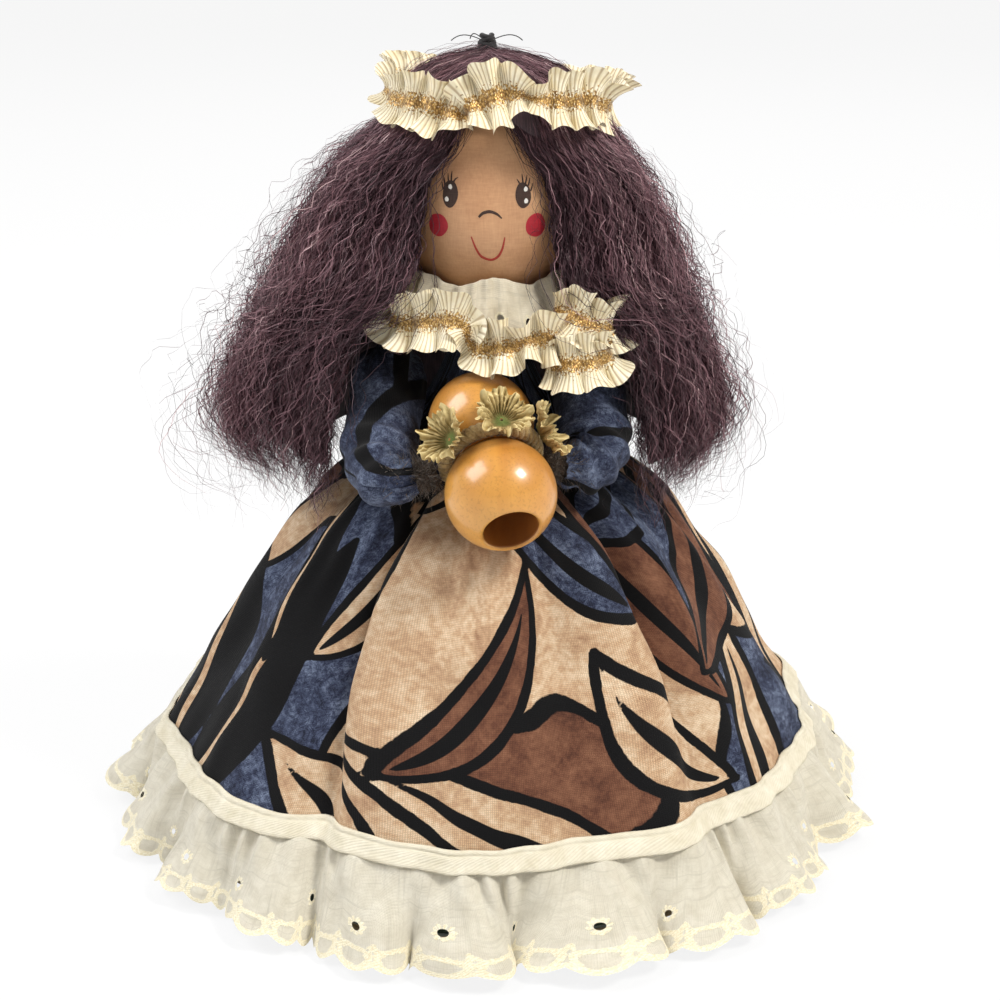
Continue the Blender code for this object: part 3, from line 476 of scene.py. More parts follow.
def print_finish():
    material, tree, shader = start_finish("leaf_print_cotton", (0.3, 0.3, 0.3, 1), 0.85)
    flat = coords(tree, "UV")
    blotch = noise(tree, flat, 0.11, 6.0, 0.62, 0.4)
    speck = noise(tree, flat, 0.55, 5.0, 0.7)
    cloud = calc(tree, "MULTIPLY_ADD", speck, 0.45, calc(tree, "MULTIPLY", blotch, 0.6))
    tan = ramp(tree, cloud, (0.34, tone(162, 122, 94)), (0.5, tone(206, 170, 134)),
               (0.66, tone(238, 214, 182)))
    crack = noise(tree, flat, 0.3, 7.0, 0.72, 1.6)
    crackle = between(tree, calc(tree, "ABSOLUTE", calc(tree, "SUBTRACT", crack, 0.5)), 0.0, 0.05)
    slate = ramp(tree, cloud, (0.36, tone(30, 33, 46)), (0.5, tone(66, 74, 98)), (0.66, tone(124, 136, 160)))
    dark_slate = mix(tree, 1.0, slate, tone(128, 130, 150), "MULTIPLY")
    navy = mix(tree, crackle, dark_slate, slate)
    brown = ramp(tree, cloud, (0.36, tone(76, 46, 36)), (0.5, tone(112, 72, 54)), (0.66, tone(142, 98, 74)))
    ground = mix(tree, calc(tree, "GREATER_THAN", field_of(tree, "print_blue"), 0.5), tan, navy)
    ground = mix(tree, calc(tree, "GREATER_THAN", field_of(tree, "print_brown"), 0.5), ground, brown)
    leaf = field_of(tree, "print_leaf")
    rough = calc(tree, "MULTIPLY_ADD", speck, 0.5, calc(tree, "MULTIPLY", blotch, 1.3))
    near = calc(tree, "SUBTRACT", calc(tree, "ABSOLUTE", leaf), rough)
    line_edge = (OUTLINE - 0.75, OUTLINE - 0.95)
    line = between(tree, near, *line_edge)
    seam = calc(tree, "SUBTRACT", calc(tree, "ABSOLUTE", field_of(tree, "print_ground")), rough)
    bare = calc(tree, "LESS_THAN", leaf, 0.0)
    seam = calc(tree, "MULTIPLY", between(tree, seam, *line_edge), bare)
    vein = calc(tree, "MULTIPLY_ADD", speck, 0.2, field_of(tree, "print_vein"))
    vein = between(tree, vein, 0.0, 0.2)
    line = calc(tree, "MAXIMUM", calc(tree, "MAXIMUM", line, seam), vein)
    printed = mix(tree, line, ground, tone(9, 9, 11))
    threads = weave(tree, flat, 0.42)
    # Darker between the threads of the weave: painted shade in the gaps of the cloth
    woven = mix(tree, between(tree, threads, 0.0, 0.5, 0.32, 0.0), printed, tone(15, 12, 11))
    connect(tree, shader, Base_Color=woven, Sheen_Weight=0.06, Specular_IOR_Level=0.15)
    height = calc(tree, "MULTIPLY_ADD", noise(tree, flat, 0.9, 3.0), 0.6, threads)
    bump(tree, shader, height, 0.55, 0.12 * MM)
    return material


def lace_finish(name, deep, pale):
    material, tree, shader = start_finish(name, pale, 0.9)
    flat = coords(tree, "UV")
    threads = weave(tree, flat, 0.3)
    stitched = field_of(tree, "stitch")
    uneven = noise(tree, flat, 0.25, 5.0, 0.7)
    plain = ramp(tree, uneven, (0.3, deep), (0.7, pale))
    patchy = noise(tree, flat, 0.7, 4.0, 0.7, 0.5)
    stitched = between(tree, calc(tree, "MULTIPLY_ADD", patchy, 1.7, stitched), 1.3, 1.45)
    silk = ramp(tree, noise(tree, flat, 2.2, 3.0), (0.3, tone(226, 212, 172)), (0.7, tone(252, 246, 224)))
    weft = noise(tree, coords(tree, "UV", scale=(0.06, 1.5, 1.0)), 1.0, 3.0, 0.7)
    warp = noise(tree, coords(tree, "UV", scale=(1.5, 0.06, 1.0)), 1.0, 3.0, 0.7)
    slubs = between(tree, calc(tree, "MAXIMUM", weft, warp), 0.52, 0.72, 0.0, 0.3)
    plain = mix(tree, slubs, plain, tone(150, 142, 122))
    colour = mix(tree, stitched, plain, silk)
    # Darker between the threads of the weave: painted shade in the gaps of the lace
    colour = mix(tree, between(tree, threads, 0.0, 0.4, 0.14, 0.0), colour, tone(168, 160, 140))
    connect(tree, shader, Base_Color=colour, Sheen_Weight=0.2)
    satin = bands(tree, coords(tree, "UV", turn=(0, 0, 0.6)), 0.75, "X", 1.2, 1.0)
    height = mix(tree, stitched, threads, calc(tree, "MULTIPLY_ADD", satin, 0.7, 0.9))
    bump(tree, shader, height, 0.55, 0.2 * MM)
    return material


def tape_finish():
    material, tree, shader = start_finish("cream_twill_tape", (0.85, 0.83, 0.75, 1), 0.85)
    flat = coords(tree, "UV", turn=(0, 0, math.radians(62)))
    twill = bands(tree, flat, 0.5, "X", 0.5, 1.0)
    soil = noise(tree, coords(tree, "UV"), 0.18, 5.0, 0.7)
    colour = ramp(tree, soil, (0.3, tone(208, 198, 172)), (0.7, tone(234, 227, 208)))
    # Darker in the twill's grooves, the same bands as its bump: painted shade
    colour = mix(tree, between(tree, twill, 0.0, 0.5, 0.2, 0.0), colour, tone(176, 164, 136))
    connect(tree, shader, Base_Color=colour)
    bump(tree, shader, twill, 0.5, 0.12 * MM)
    return material


def ribbon_finish():
    """Ribbed cream ribbon, with gold thread woven along its middle."""
    material, tree, shader = start_finish("ribbed_ribbon", (0.85, 0.8, 0.65, 1), 0.5)
    flat = coords(tree, "UV")
    ribs = bands(tree, flat, math.tau / 20 / 0.78, "X", 0.5)
    age = noise(tree, flat, 0.35, 4.0, 0.6)
    cream = ramp(tree, age, (0.3, tone(238, 222, 180)), (0.7, tone(253, 246, 222)))
    # Darker between the ribs, the same bands as the bump: painted shade in the grooves
    cream = mix(tree, between(tree, ribs, 0.0, 0.45, 0.7, 0.0), cream, tone(160, 128, 82))
    gold_share = field_of(tree, "gold")
    knots = node(tree, "ShaderNodeTexVoronoi", Vector=flat, Scale=1.9).outputs["Distance"]
    frayed = calc(tree, "MULTIPLY_ADD", noise(tree, flat, 1.5, 2.0, 0.6), 1.3, gold_share)
    is_gold = between(tree, frayed, 1.34, 1.42)
    # The gold is palest at each knot's middle, where the bump rises, and darkest between knots: painted
    # highlight and shade over the thread's own gold
    gold = ramp(tree, knots, (0.05, tone(238, 208, 140)), (0.4, tone(186, 144, 78)),
                (0.75, tone(122, 88, 42)))
    connect(tree, shader, Base_Color=mix(tree, is_gold, cream, gold),
            Metallic=calc(tree, "MULTIPLY", is_gold, 0.55),
            Roughness=between(tree, is_gold, 0.0, 1.0, 0.5, 0.36), Sheen_Weight=0.2)
    lumps = mix(tree, is_gold, ribs, calc(tree, "SUBTRACT", 1.0, knots))
    bump(tree, shader, lumps, 0.7, 0.2 * MM)
    return material


def hair_finish():
    material, tree, shader = start_finish("crimped_hair", (0.05, 0.03, 0.03, 1), 0.42)
    # The shade field is each strand's tone with its painted shade, darker deep in the hair and beside the
    # face
    shade = field_of(tree, "shade")
    along = noise(tree, coords(tree, "Object"), 260.0, 2.0)
    value = calc(tree, "MULTIPLY_ADD", along, 0.3, shade)
    colour = ramp(tree, value, (0.12, tone(34, 22, 27)), (0.45, tone(96, 67, 74)),
                  (0.75, tone(152, 115, 121)), (1.0, tone(208, 178, 178)))
    connect(tree, shader, Base_Color=colour, Roughness=between(tree, along, 0.3, 0.7, 0.34, 0.55),
            Specular_IOR_Level=0.6, Specular_Tint=tone(226, 196, 200))
    return material


def hair_mass_finish():
    material, tree, shader = start_finish("packed_hair", (0.03, 0.02, 0.02, 1), 0.6)
    flow = coords(tree, "UV", scale=(1.0, 0.06, 1.0))
    threads = noise(tree, flow, 2.6, 4.0, 0.7, 0.3)
    # Darker than the strands: painted shade of the hair's depths, on the hanks under the strands and on the
    # crown's cap
    colour = ramp(tree, threads, (0.35, tone(34, 22, 27)), (0.7, tone(84, 58, 64)))
    connect(tree, shader, Base_Color=colour, Roughness=between(tree, threads, 0.3, 0.7, 0.75, 0.5))
    bump(tree, shader, threads, 0.8, 0.4 * MM)
    return material


def wood_finish(name, pale, deep, roughness, coat):
    material, tree, shader = start_finish(name, pale, roughness, Coat_Weight=coat, Coat_Roughness=0.14)
    along = coords(tree, "Object", scale=(1.0, 0.16, 0.3), turn=(0.55, 0.0, 0.25))
    grain = noise(tree, along, 60.0, 5.0, 0.65, 0.8)
    pores = noise(tree, coords(tree, "Object"), 1500.0, 2.0, 0.6)
    cloud = noise(tree, coords(tree, "Object"), 42.0, 3.0, 0.5)
    value = calc(tree, "MULTIPLY_ADD", grain, 0.6, calc(tree, "MULTIPLY", cloud, 0.45))
    colour = ramp(tree, value, (0.3, deep), (0.64, pale))
    speck = between(tree, pores, 0.36, 0.46, 0.18, 0.0)
    polish = between(tree, grain, 0.3, 0.7, roughness * 1.25, roughness * 0.85)
    connect(tree, shader, Base_Color=mix(tree, speck, colour, tone(112, 66, 20)), Roughness=polish)
    bump(tree, shader, grain, 0.08, 0.1 * MM)
    return material


def paint_finish(name, pale, deep, roughness, strength):
    """Brushed craft paint: fine crossing brush marks and a little unevenness."""
    material, tree, shader = start_finish(name, pale, roughness)
    across = noise(tree, coords(tree, "Object", scale=(0.12, 0.12, 1.0)), 2600.0, 3.0, 0.6)
    down = noise(tree, coords(tree, "Object", scale=(1.0, 1.0, 0.1)), 2600.0, 3.0, 0.6)
    marks = calc(tree, "MULTIPLY_ADD", across, 0.5, calc(tree, "MULTIPLY", down, 0.5))
    cloud = noise(tree, coords(tree, "Object"), 70.0, 4.0, 0.55)
    value = calc(tree, "MULTIPLY_ADD", marks, 0.5, calc(tree, "MULTIPLY", cloud, 0.5))
    polish = between(tree, marks, 0.3, 0.7, roughness * 1.2, roughness * 0.8)
    connect(tree, shader, Base_Color=ramp(tree, value, (0.36, deep), (0.62, pale)), Roughness=polish)
    bump(tree, shader, marks, strength, 0.12 * MM)
    return material


def fibre_finish(name, pale, deep, scale):
    material, tree, shader = start_finish(name, pale, 0.9)
    fibres = noise(tree, coords(tree, "Object"), scale, 6.0, 0.75, 0.6)
    connect(tree, shader, Base_Color=ramp(tree, fibres, (0.32, deep), (0.68, pale)), Sheen_Weight=0.25)
    bump(tree, shader, fibres, 0.7, 0.3 * MM)
    return material


def straw_finish():
    """Dried straw flowers: pale ruffled rims, olive towards the middle, and paler ridges over darker grooves
    as painted light and shade.
    """
    material, tree, shader = start_finish("straw_flower", (0.5, 0.4, 0.22, 1), 0.85)
    rim = field_of(tree, "rim")
    dry = noise(tree, coords(tree, "Object"), 900.0, 4.0, 0.7)
    value = calc(tree, "MULTIPLY_ADD", dry, 0.35, calc(tree, "MULTIPLY", rim, 0.8))
    colour = ramp(tree, value, (0.16, tone(104, 118, 56)), (0.36, tone(120, 102, 56)),
                  (0.6, tone(174, 150, 96)), (0.95, tone(222, 202, 146)))
    connect(tree, shader, Base_Color=colour)
    bump(tree, shader, dry, 0.6, 0.25 * MM)
    return material


COTTON = print_finish()
LACE = lace_finish("cream_batiste", tone(206, 198, 178), tone(229, 223, 206))
COLLAR_LACE = lace_finish("beige_batiste", tone(214, 202, 176), tone(240, 231, 210))
TAPE = tape_finish()
RIBBON = ribbon_finish()
HAIR = hair_finish()
HAIR_MASS = hair_mass_finish()
HONEY_WOOD = wood_finish("honey_varnish_wood", tone(214, 154, 72), tone(172, 104, 40), 0.32, 0.55)
# The gourds' bores are unvarnished wood coloured darker than the outside: painted shade in the holes
BORE_WOOD = wood_finish("bore_wood", tone(150, 88, 30), tone(104, 54, 16), 0.5, 0.1)
PLAIN_WOOD = wood_finish("bare_wood", tone(214, 178, 128), tone(178, 136, 88), 0.6, 0.0)
FLESH = paint_finish("flesh_paint", tone(213, 165, 123), tone(188, 138, 99), 0.5, 0.3)
BROWN_PAINT = paint_finish("brown_paint", tone(70, 46, 36), tone(50, 32, 24), 0.65, 0.2)
WHITE_PAINT = paint_finish("white_paint", tone(246, 242, 236), tone(230, 224, 214), 0.45, 0.1)
CHEEK_PAINT = paint_finish("cheek_paint", tone(196, 40, 54), tone(158, 24, 40), 0.55, 0.3)
MOUTH_PAINT = paint_finish("mouth_paint", tone(178, 52, 36), tone(150, 38, 26), 0.5, 0.2)
THREAD = fibre_finish("black_thread", tone(40, 36, 38), tone(10, 9, 11), 2200.0)
STRAW = straw_finish()
STRAW_CORD = fibre_finish("straw_cord", tone(196, 168, 112), tone(116, 88, 48), 900.0)
CHENILLE = fibre_finish("brown_chenille", tone(112, 96, 80), tone(50, 40, 33), 1500.0)
CARD = fibre_finish("base_card", tone(196, 172, 134), tone(160, 134, 98), 500.0)
# The foam is coloured dark so that it shows as shade through the eyelets: painted shade
FOAM = fibre_finish("packing_foam", tone(60, 76, 58), tone(38, 52, 38), 700.0)


# Camera, light and floor


def set_stage():
    scene = bpy.context.scene
    scene.view_settings.view_transform = "Standard"
    lens = bpy.data.cameras.new("camera")
    lens.lens = CAMERA_LENS
    lens.sensor_width = 36.0
    lens.clip_start = 0.01
    camera = bpy.data.objects.new("camera", lens)
    camera.location = CAMERA_PLACE
    camera.rotation_euler = (math.radians(CAMERA_TILT), 0, 0)
    scene.collection.objects.link(camera)
    scene.camera = camera

    for name, place, size, power, colour in LAMPS:
        lamp = bpy.data.lights.new(name, "AREA")
        lamp.size = size
        lamp.energy = power
        lamp.color = colour
        light = bpy.data.objects.new(name, lamp)
        light.location = place
        aim = LAMP_AIM - Vector(place)
        light.rotation_euler = aim.to_track_quat("-Z", "Y").to_euler()
        scene.collection.objects.link(light)

    world = bpy.data.worlds.new("studio")
    world.use_nodes = True
    scene.world = world
    sky = world.node_tree.nodes["Background"]
    sky.inputs["Color"].default_value = (1.0, 1.0, 1.0, 1.0)
    sky.inputs["Strength"].default_value = WORLD_LIGHT

    # The floor is flat round the doll and then rises, so that it is also the backdrop
    bm = bmesh.new()
    bmesh.ops.create_grid(bm, x_segments=24, y_segments=24, size=FLOOR_REACH)
    for point in bm.verts:
        point.co.z = FLOOR_SLOPE * max(point.co.length - FLOOR_FLAT, 0.0)
    mesh = mesh_of("floor", bm)
    material, tree, shader = start_finish("pale_floor", (0.9, 0.9, 0.9, 1), 0.9)
    path = tree.nodes.new("ShaderNodeLightPath")
    seen = calc(tree, "MAXIMUM", path.outputs["Is Camera Ray"], path.outputs["Is Glossy Ray"])
    seen = calc(tree, "MAXIMUM", seen, path.outputs["Is Transmission Ray"])
    glow = node(tree, "ShaderNodeEmission", Color=(1, 1, 1, 1), Strength=1.0)
    blend = tree.nodes.new("ShaderNodeMixShader")
    tree.links.new(calc(tree, "MULTIPLY", seen, FLOOR_GLOW), blend.inputs[0])
    tree.links.new(shader.outputs[0], blend.inputs[1])
    tree.links.new(glow.outputs[0], blend.inputs[2])
    tree.links.new(blend.outputs[0], tree.nodes["Material Output"].inputs["Surface"])
    put("floor", mesh, material)


# Printed cloth


def dress_rows():
    """Heights up the dress, and the length of cloth from the hem to each."""
    heights = np.linspace(HEM, DRESS_TOP, 600)
    radii = dress_radius(heights)
    steps = np.hypot(np.diff(heights), np.diff(radii))
    return heights, np.concatenate([[0.0], np.cumsum(steps)])


DRESS_HEIGHTS, DRESS_LENGTHS = dress_rows()
DRESS_LENGTH = float(DRESS_LENGTHS[-1])


def ground_of(across, up):
    """Which ground the print has: navy where it is low, brown where it is high and tan between."""
    swell = np.sin(across / 26.0 + 0.75 + 0.9 * np.sin(up / 27.0))
    return swell + 0.6 * np.sin(up / 17.0 - across / 41.0 + 1.1) + 0.12 * np.sin(across / 6.0 + up / 9.0)


def print_leaves():
    """A scatter of long leaves: middle, turn, length, width, bend and colour."""
    rng = np.random.default_rng(12)
    leaves = []
    spots = []
    for _ in range(4000):
        spot = np.array([rng.uniform(-240, 240), rng.uniform(-6, 150)])
        if all(np.hypot(*(spot - other)) > 34 for other in spots):
            spots.append(spot)
    for spot in spots:
        length = rng.uniform(48, 88)
        turn = rng.choice([-1.0, 1.0]) * rng.uniform(0.25, 1.2) + math.pi / 2
        ground = float(ground_of(spot[0], spot[1]))
        choices = (NAVY, NAVY, BROWN, TAN)
        if ground < NAVY_BELOW:
            # Leaves on the left of the flat cloth, the doll's right side, are black where others are brown:
            # partly the print, partly painted shade darkening that side of the dress
            choices = (NAVY, BLACK if spot[0] < 0 else BROWN, TAN, BLACK)
        elif ground > BROWN_ABOVE:
            choices = (TAN, NAVY, BLACK)
        colour = int(rng.choice(choices))
        leaves.append((spot, turn, length, length * rng.uniform(0.11, 0.2), rng.uniform(-13, 13), colour))
    return leaves


def print_fields(across, up):
    """Colour masks of the leaf print at places on the flat cloth, and how far each is inside its lines."""
    swell = ground_of(across, up)
    ground = np.minimum(swell - NAVY_BELOW, BROWN_ABOVE - swell) * 20.0
    blue = (swell < NAVY_BELOW).astype(float)
    brown = (swell > BROWN_ABOVE).astype(float)
    leaf = np.full_like(across, -9.0)
    vein = np.full_like(across, -9.0)
    for spot, turn, length, width, bend, colour in print_leaves():
        dx = across - spot[0]
        dy = up - spot[1]
        t = (dx * math.cos(turn) + dy * math.sin(turn)) / length + 0.5
        side = -dx * math.sin(turn) + dy * math.cos(turn) - bend * (1 - (2 * t - 1) ** 2) + bend * 0.5
        body = np.clip(t, 0, 1)
        half = width * np.sin(math.pi * body**0.8) ** 0.9
        past = np.maximum(np.maximum(-t, t - 1), 0) * length
        apart = np.where(past > 0, -np.hypot(np.maximum(np.abs(side) - half, 0), past), half - np.abs(side))
        inside = apart > 0
        along = np.clip((t - 0.04) / 0.84, 0, 1) ** 0.7
        blade = 2.5 * np.sin(math.pi * along) ** 0.7 - np.abs(side - 0.12 * half) - 0.4
        blade = 0.5 - blade if colour == BLACK else blade
        nearer = np.abs(apart) < np.abs(leaf)
        leaf = np.where(inside, apart, np.where(nearer, np.abs(apart) * np.sign(leaf), leaf))
        vein = np.where(inside, blade, vein)
        blue = np.where(inside, 1.0 if colour == NAVY else 0.0, blue)
        brown = np.where(inside, 1.0 if colour == BROWN else 0.0, brown)
    fields = {"leaf": leaf, "ground": ground, "vein": vein, "blue": blue, "brown": brown}
    return {f"print_{name}": values for name, values in fields.items()}


def azimuth_of(u):
    """Azimuth at a share of the way round, from the middle of the back."""
    return (u - 0.5) * math.tau


def dress_flat(u, v):
    return azimuth_of(u) * PRINT_RADIUS, v * DRESS_LENGTH


def dress_surface(azimuth, height):
    """Radius of the dress with its folds, the small pleats of its gathers and some softness."""
    radius = dress_radius(height) + dress_fold(azimuth, height)
    pleat = ease(SHOULDER, SHOULDER - 12, height) * ease(HIP - 24, HIP + 6, height)
    radius = radius + 0.5 * pleat * np.cos(52 * azimuth + 1.5 * np.sin(3 * azimuth))
    low = 1 - ease(HEM + 2, HEM + 26, height)
    radius += 0.35 * low * np.sin(38 * azimuth + 2.0 * np.sin(5 * azimuth))
    deep = np.exp(-(turn_between(azimuth, math.radians(MAIN_FOLDS[0][0])) / math.radians(8)) ** 2)
    radius -= 2.6 * deep * (1 - ease(HEM + 10, HIP - 4, height))
    soft = ease(SHOULDER, HIP + 10, height)
    sag = ripple(5, azimuth * 60, height, 22.0) + 0.7 * np.sin(9 * azimuth + height / 15)
    return radius + 0.6 * soft * sag


def dress_sway(azimuth, height):
    """How far the cloth is pulled sideways over its deep folds, in radians."""
    pull = np.zeros_like(azimuth)
    for centre, width, turn in OVERHANGS:
        share = turn_between(azimuth, math.radians(centre)) / math.radians(width)
        pull += math.radians(turn) * np.exp(-share * share)
    return pull * ease(SHOULDER - 8, HIP - 6, height) * (0.4 + 0.6 * ease(HEM, HIP - 26, height))


def dress_place(u, v):
    azimuth = azimuth_of(u)
    height = np.interp(v * DRESS_LENGTH, DRESS_LENGTHS, DRESS_HEIGHTS)
    return polar(azimuth + dress_sway(azimuth, height), dress_surface(azimuth, height), height)


def dress_fields(u, v):
    """The print on the dress, whose yoke was cut from a navy stretch."""
    fields = print_fields(*dress_flat(u, v))
    yoke = np.interp(v * DRESS_LENGTH, DRESS_LENGTHS, DRESS_HEIGHTS) > YOKE
    fields["print_blue"] = np.where(yoke, 1.0, fields["print_blue"])
    fields["print_brown"] = np.where(yoke, 0.0, fields["print_brown"])
    return fields


def make_dress():
    dress = cloth("dress_cloth", 640, 139, dress_place, COTTON, flat=dress_flat, fields=dress_fields)
    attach(dress, "torso")
    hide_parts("dress")
    return dress


def round_drum(angle):
    """The way out from the drum's waist, at degrees round it from its top."""
    turn = math.radians(angle)
    return DRUM_UP * math.cos(turn) + DRUM_SIDE * math.sin(turn)


def arm_path(side, count):
    """Points along the arm's middle line, from the shoulder round the elbow to the cuff."""
    out = np.array(round_drum(HOLD_TURN * side))
    shoulder = np.array((24.8 * side, -6.0, SHOULDER))
    elbow = shoulder + np.array((1.5 * side, -22.0, -13.0))
    cuff = DRUM_WAIST + out * CUFF_REACH
    lead = cuff + out * 12.0
    t = np.linspace(0, 1, count)[:, None]
    return shoulder * (1 - t) ** 3 + elbow * 3 * t * (1 - t) ** 2 + lead * 3 * t * t * (1 - t) + cuff * t**3


def path_frames(path):
    run = unit(np.gradient(path, axis=0))
    side = unit(np.cross(run, (0.0, 0.0, 1.0)))
    return run, side, np.cross(side, run)


def sleeve_fields(across, up):
    """The sleeves were cut from a navy stretch of the print, so only its lines differ there."""
    fields = print_fields(across * 0.6, up * 0.6)
    fields["print_vein"] = np.full_like(across, -9.0)
    fields["print_blue"] = np.ones_like(across)
    fields["print_brown"] = np.zeros_like(across)
    return fields


def make_sleeve(name, side):
    count = 90
    path = arm_path(side, count)
    run, level, up = path_frames(path)
    reach = np.linspace(0, 1, count)
    radii = smooth_curve(SLEEVE_PROFILE, reach)
    dome = 26

    def place(u, v):
        turn = (u if side > 0 else -u) * math.tau
        row = v * (count + dome - 1)
        at = np.clip(np.rint(row).astype(int) - dome, 0, count - 1)
        back = np.clip((dome - np.rint(row)) / dome, 0, 1)
        size = radii[at] * np.where(back > 0, np.sqrt(np.clip(1 - back**2, 0, 1)), 1.0)
        share = at / (count - 1)
        crease = 0.5 * np.sin(share * 34 + 2.6 * np.cos(turn + 0.7)) * ease(0.15, 0.45, share)
        crease += 0.35 * ripple(11 + side, turn * 9, share * 60, 13.0)
        cuff = 0.5 * np.cos(11 * turn) * ease(0.8, 1.0, share)
        crease += cuff + 0.4 * np.cos(9 * turn + 1) * (1 - ease(0, 0.2, share))
        size = size + crease * np.clip(size / 6, 0, 1) - 0.3
        ring = level[at] * np.cos(turn)[:, None] + up[at] * np.sin(turn)[:, None]
        middle = path[at] - run[0] * (radii[0] * back)[:, None]
        return middle + ring * size[:, None]

    def flat(u, v):
        return (u - 0.5) * 58 + 62 * side - 4, v * 62 + 60

    sleeve = cloth(name, 150, count + dome - 1, place, COTTON, flat=flat,
                   fields=lambda u, v: sleeve_fields(*flat(u, v)))
    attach(sleeve, "arms")
    return sleeve


# Cream trim


def make_tape():
    """A folded tape over the seam of the hem."""
    section = np.array([(0.25, 3.1), (0.8, 3.05), (1.05, 2.6), (0.85, 2.1), (1.25, 1.8), (1.45, 1.0),
                        (1.55, 0.0), (1.7, -0.9), (1.45, -1.5), (0.9, -1.4), (0.5, 0.0), (0.2, 1.4)])
    spots = np.linspace(0, 1, len(section) + 1)
    loop = np.concatenate([section, section[:1]])

    def place(u, v):
        azimuth = azimuth_of(u)
        v = 1 - v
        out = np.interp(v, spots, loop[:, 0])
        rise = np.interp(v, spots, loop[:, 1])
        height = HEM + rise
        seat = dress_surface(azimuth, np.maximum(height, HEM)) + 0.1
        pucker = 0.12 * np.sin(azimuth * 96 + 3 * np.sin(azimuth * 7))
        pucker += 0.2 * ripple(3, azimuth * 85, 0, 20.0)
        drop = np.clip(-rise, 0, 2) * 0.7
        turn = azimuth + dress_sway(azimuth, np.full_like(azimuth, HEM))
        return polar(turn, seat + out + pucker * np.clip(out - 0.3, 0, 1) + drop, height + 0.3 * pucker)

    girth = math.tau * 86
    tape = cloth("hem_tape_cloth", 560, 24, place, TAPE, flat=lambda u, v: (u * girth, v * 13.0))
    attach(tape, "torso")
    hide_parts("hem_tape")
    return tape


def lace_wave(azimuth):
    """Uneven waves of the gathered lace, as shares of the deepest, with their turn and depth."""
    phase = 20 * azimuth + 0.9 * np.sin(2 * azimuth + 0.6) + 0.4 * np.sin(6 * azimuth + 2.2)
    phase += 0.8 * np.sin(9 * azimuth + 1.3) + 0.45 * np.sin(13 * azimuth + 2.0)
    depth = 1 - 0.23 * (1 - np.sin(4 * azimuth + 1.0)) - 0.15 * (1 - np.sin(6 * azimuth))
    depth = 0.4 + 0.6 * depth + 0.18 * np.sin(11 * azimuth + 0.5)
    return depth * np.cos(phase), phase, depth


def lace_place(u, v):
    azimuth = azimuth_of(u)
    scallop = np.abs(np.sin(u * SCALLOPS * math.pi))
    share = (1 - v) * (0.93 + 0.07 * scallop)
    wave, phase, depth = lace_wave(azimuth)
    radius = HEM_RADIUS + LACE_FLARE * share**0.85 + LACE_WAVE * share * wave
    radius += 3.2 * share * np.clip(np.cos(azimuth - 0.3), 0, 1) ** 2
    seam = dress_surface(azimuth, np.full_like(azimuth, HEM)) - HEM_RADIUS
    radius += seam * (1 - share)
    gather = 60 * azimuth + 2 * np.sin(9 * azimuth) + 1.5 * np.sin(17 * azimuth)
    radius += 1.3 * np.cos(gather) * np.exp(-((share - 0.2) / 0.22) ** 2) * (1 - np.exp(-share / 0.05))
    radius += 0.8 * share * np.cos(43 * azimuth + 2.4 * np.sin(6 * azimuth + 1))
    radius += 0.7 * share * ripple(8, azimuth * 90, share * 26, 12.0)
    loose = 0.03 + 0.035 * (1 + np.sin(3 * azimuth + 1.0)) + 0.02 * np.sin(8 * azimuth)
    sway = share**1.2 * (loose * depth * np.sin(phase + 0.3) + 0.012 * np.sin(9 * azimuth + 1))
    sway += dress_sway(azimuth, np.full_like(azimuth, HEM)) * (1 - share)
    height = HEM + 0.4 - (HEM + 0.2) * share + 3.6 * share * share * (0.5 + 0.5 * wave)
    height += 0.8 * share * share * (1 + np.sin(7 * azimuth + 0.4))
    return polar(azimuth + sway, radius, np.maximum(height, 0.35))


def lace_flat(u, v):
    return u * LACE_LENGTH, v * LACE_WIDTH


def lace_holes():
    """Eyelets on the flat lace: middle and radius."""
    pitch = LACE_LENGTH / EYELETS
    return np.array([((k + 0.5) * pitch, 10.2 + 1.2 * (k % 2), EYELET_RADIUS) for k in range(EYELETS)])


def lace_fields(u, v):
    """Where the lace is embroidered: its edge, a loop and a knot in each scallop, and round the eyelets."""
    across, up = lace_flat(u, v)
    stitch = 1 - ease(0.7, 2.1, up)
    pitch = LACE_LENGTH / SCALLOPS
    spot = (across % pitch) - pitch / 2
    loop = np.hypot(spot / 1.15, up - 2.9)
    stitch = np.maximum(stitch, np.exp(-((loop - 2.5) / 0.7) ** 2))
    gap = (across + pitch / 2) % pitch - pitch / 2
    stitch = np.maximum(stitch, np.exp(-((gap / 1.1) ** 2) - ((up - 5.2) / 1.3) ** 2))
    for x, y, size in lace_holes():
        away = np.hypot(across - x, up - y)
        rays = 0.75 + 0.35 * np.cos(9 * np.arctan2(up - y, across - x))
        stitch = np.maximum(stitch, rays * np.exp(-((away - size - 0.6) / 0.7) ** 2))
    return {"stitch": stitch}


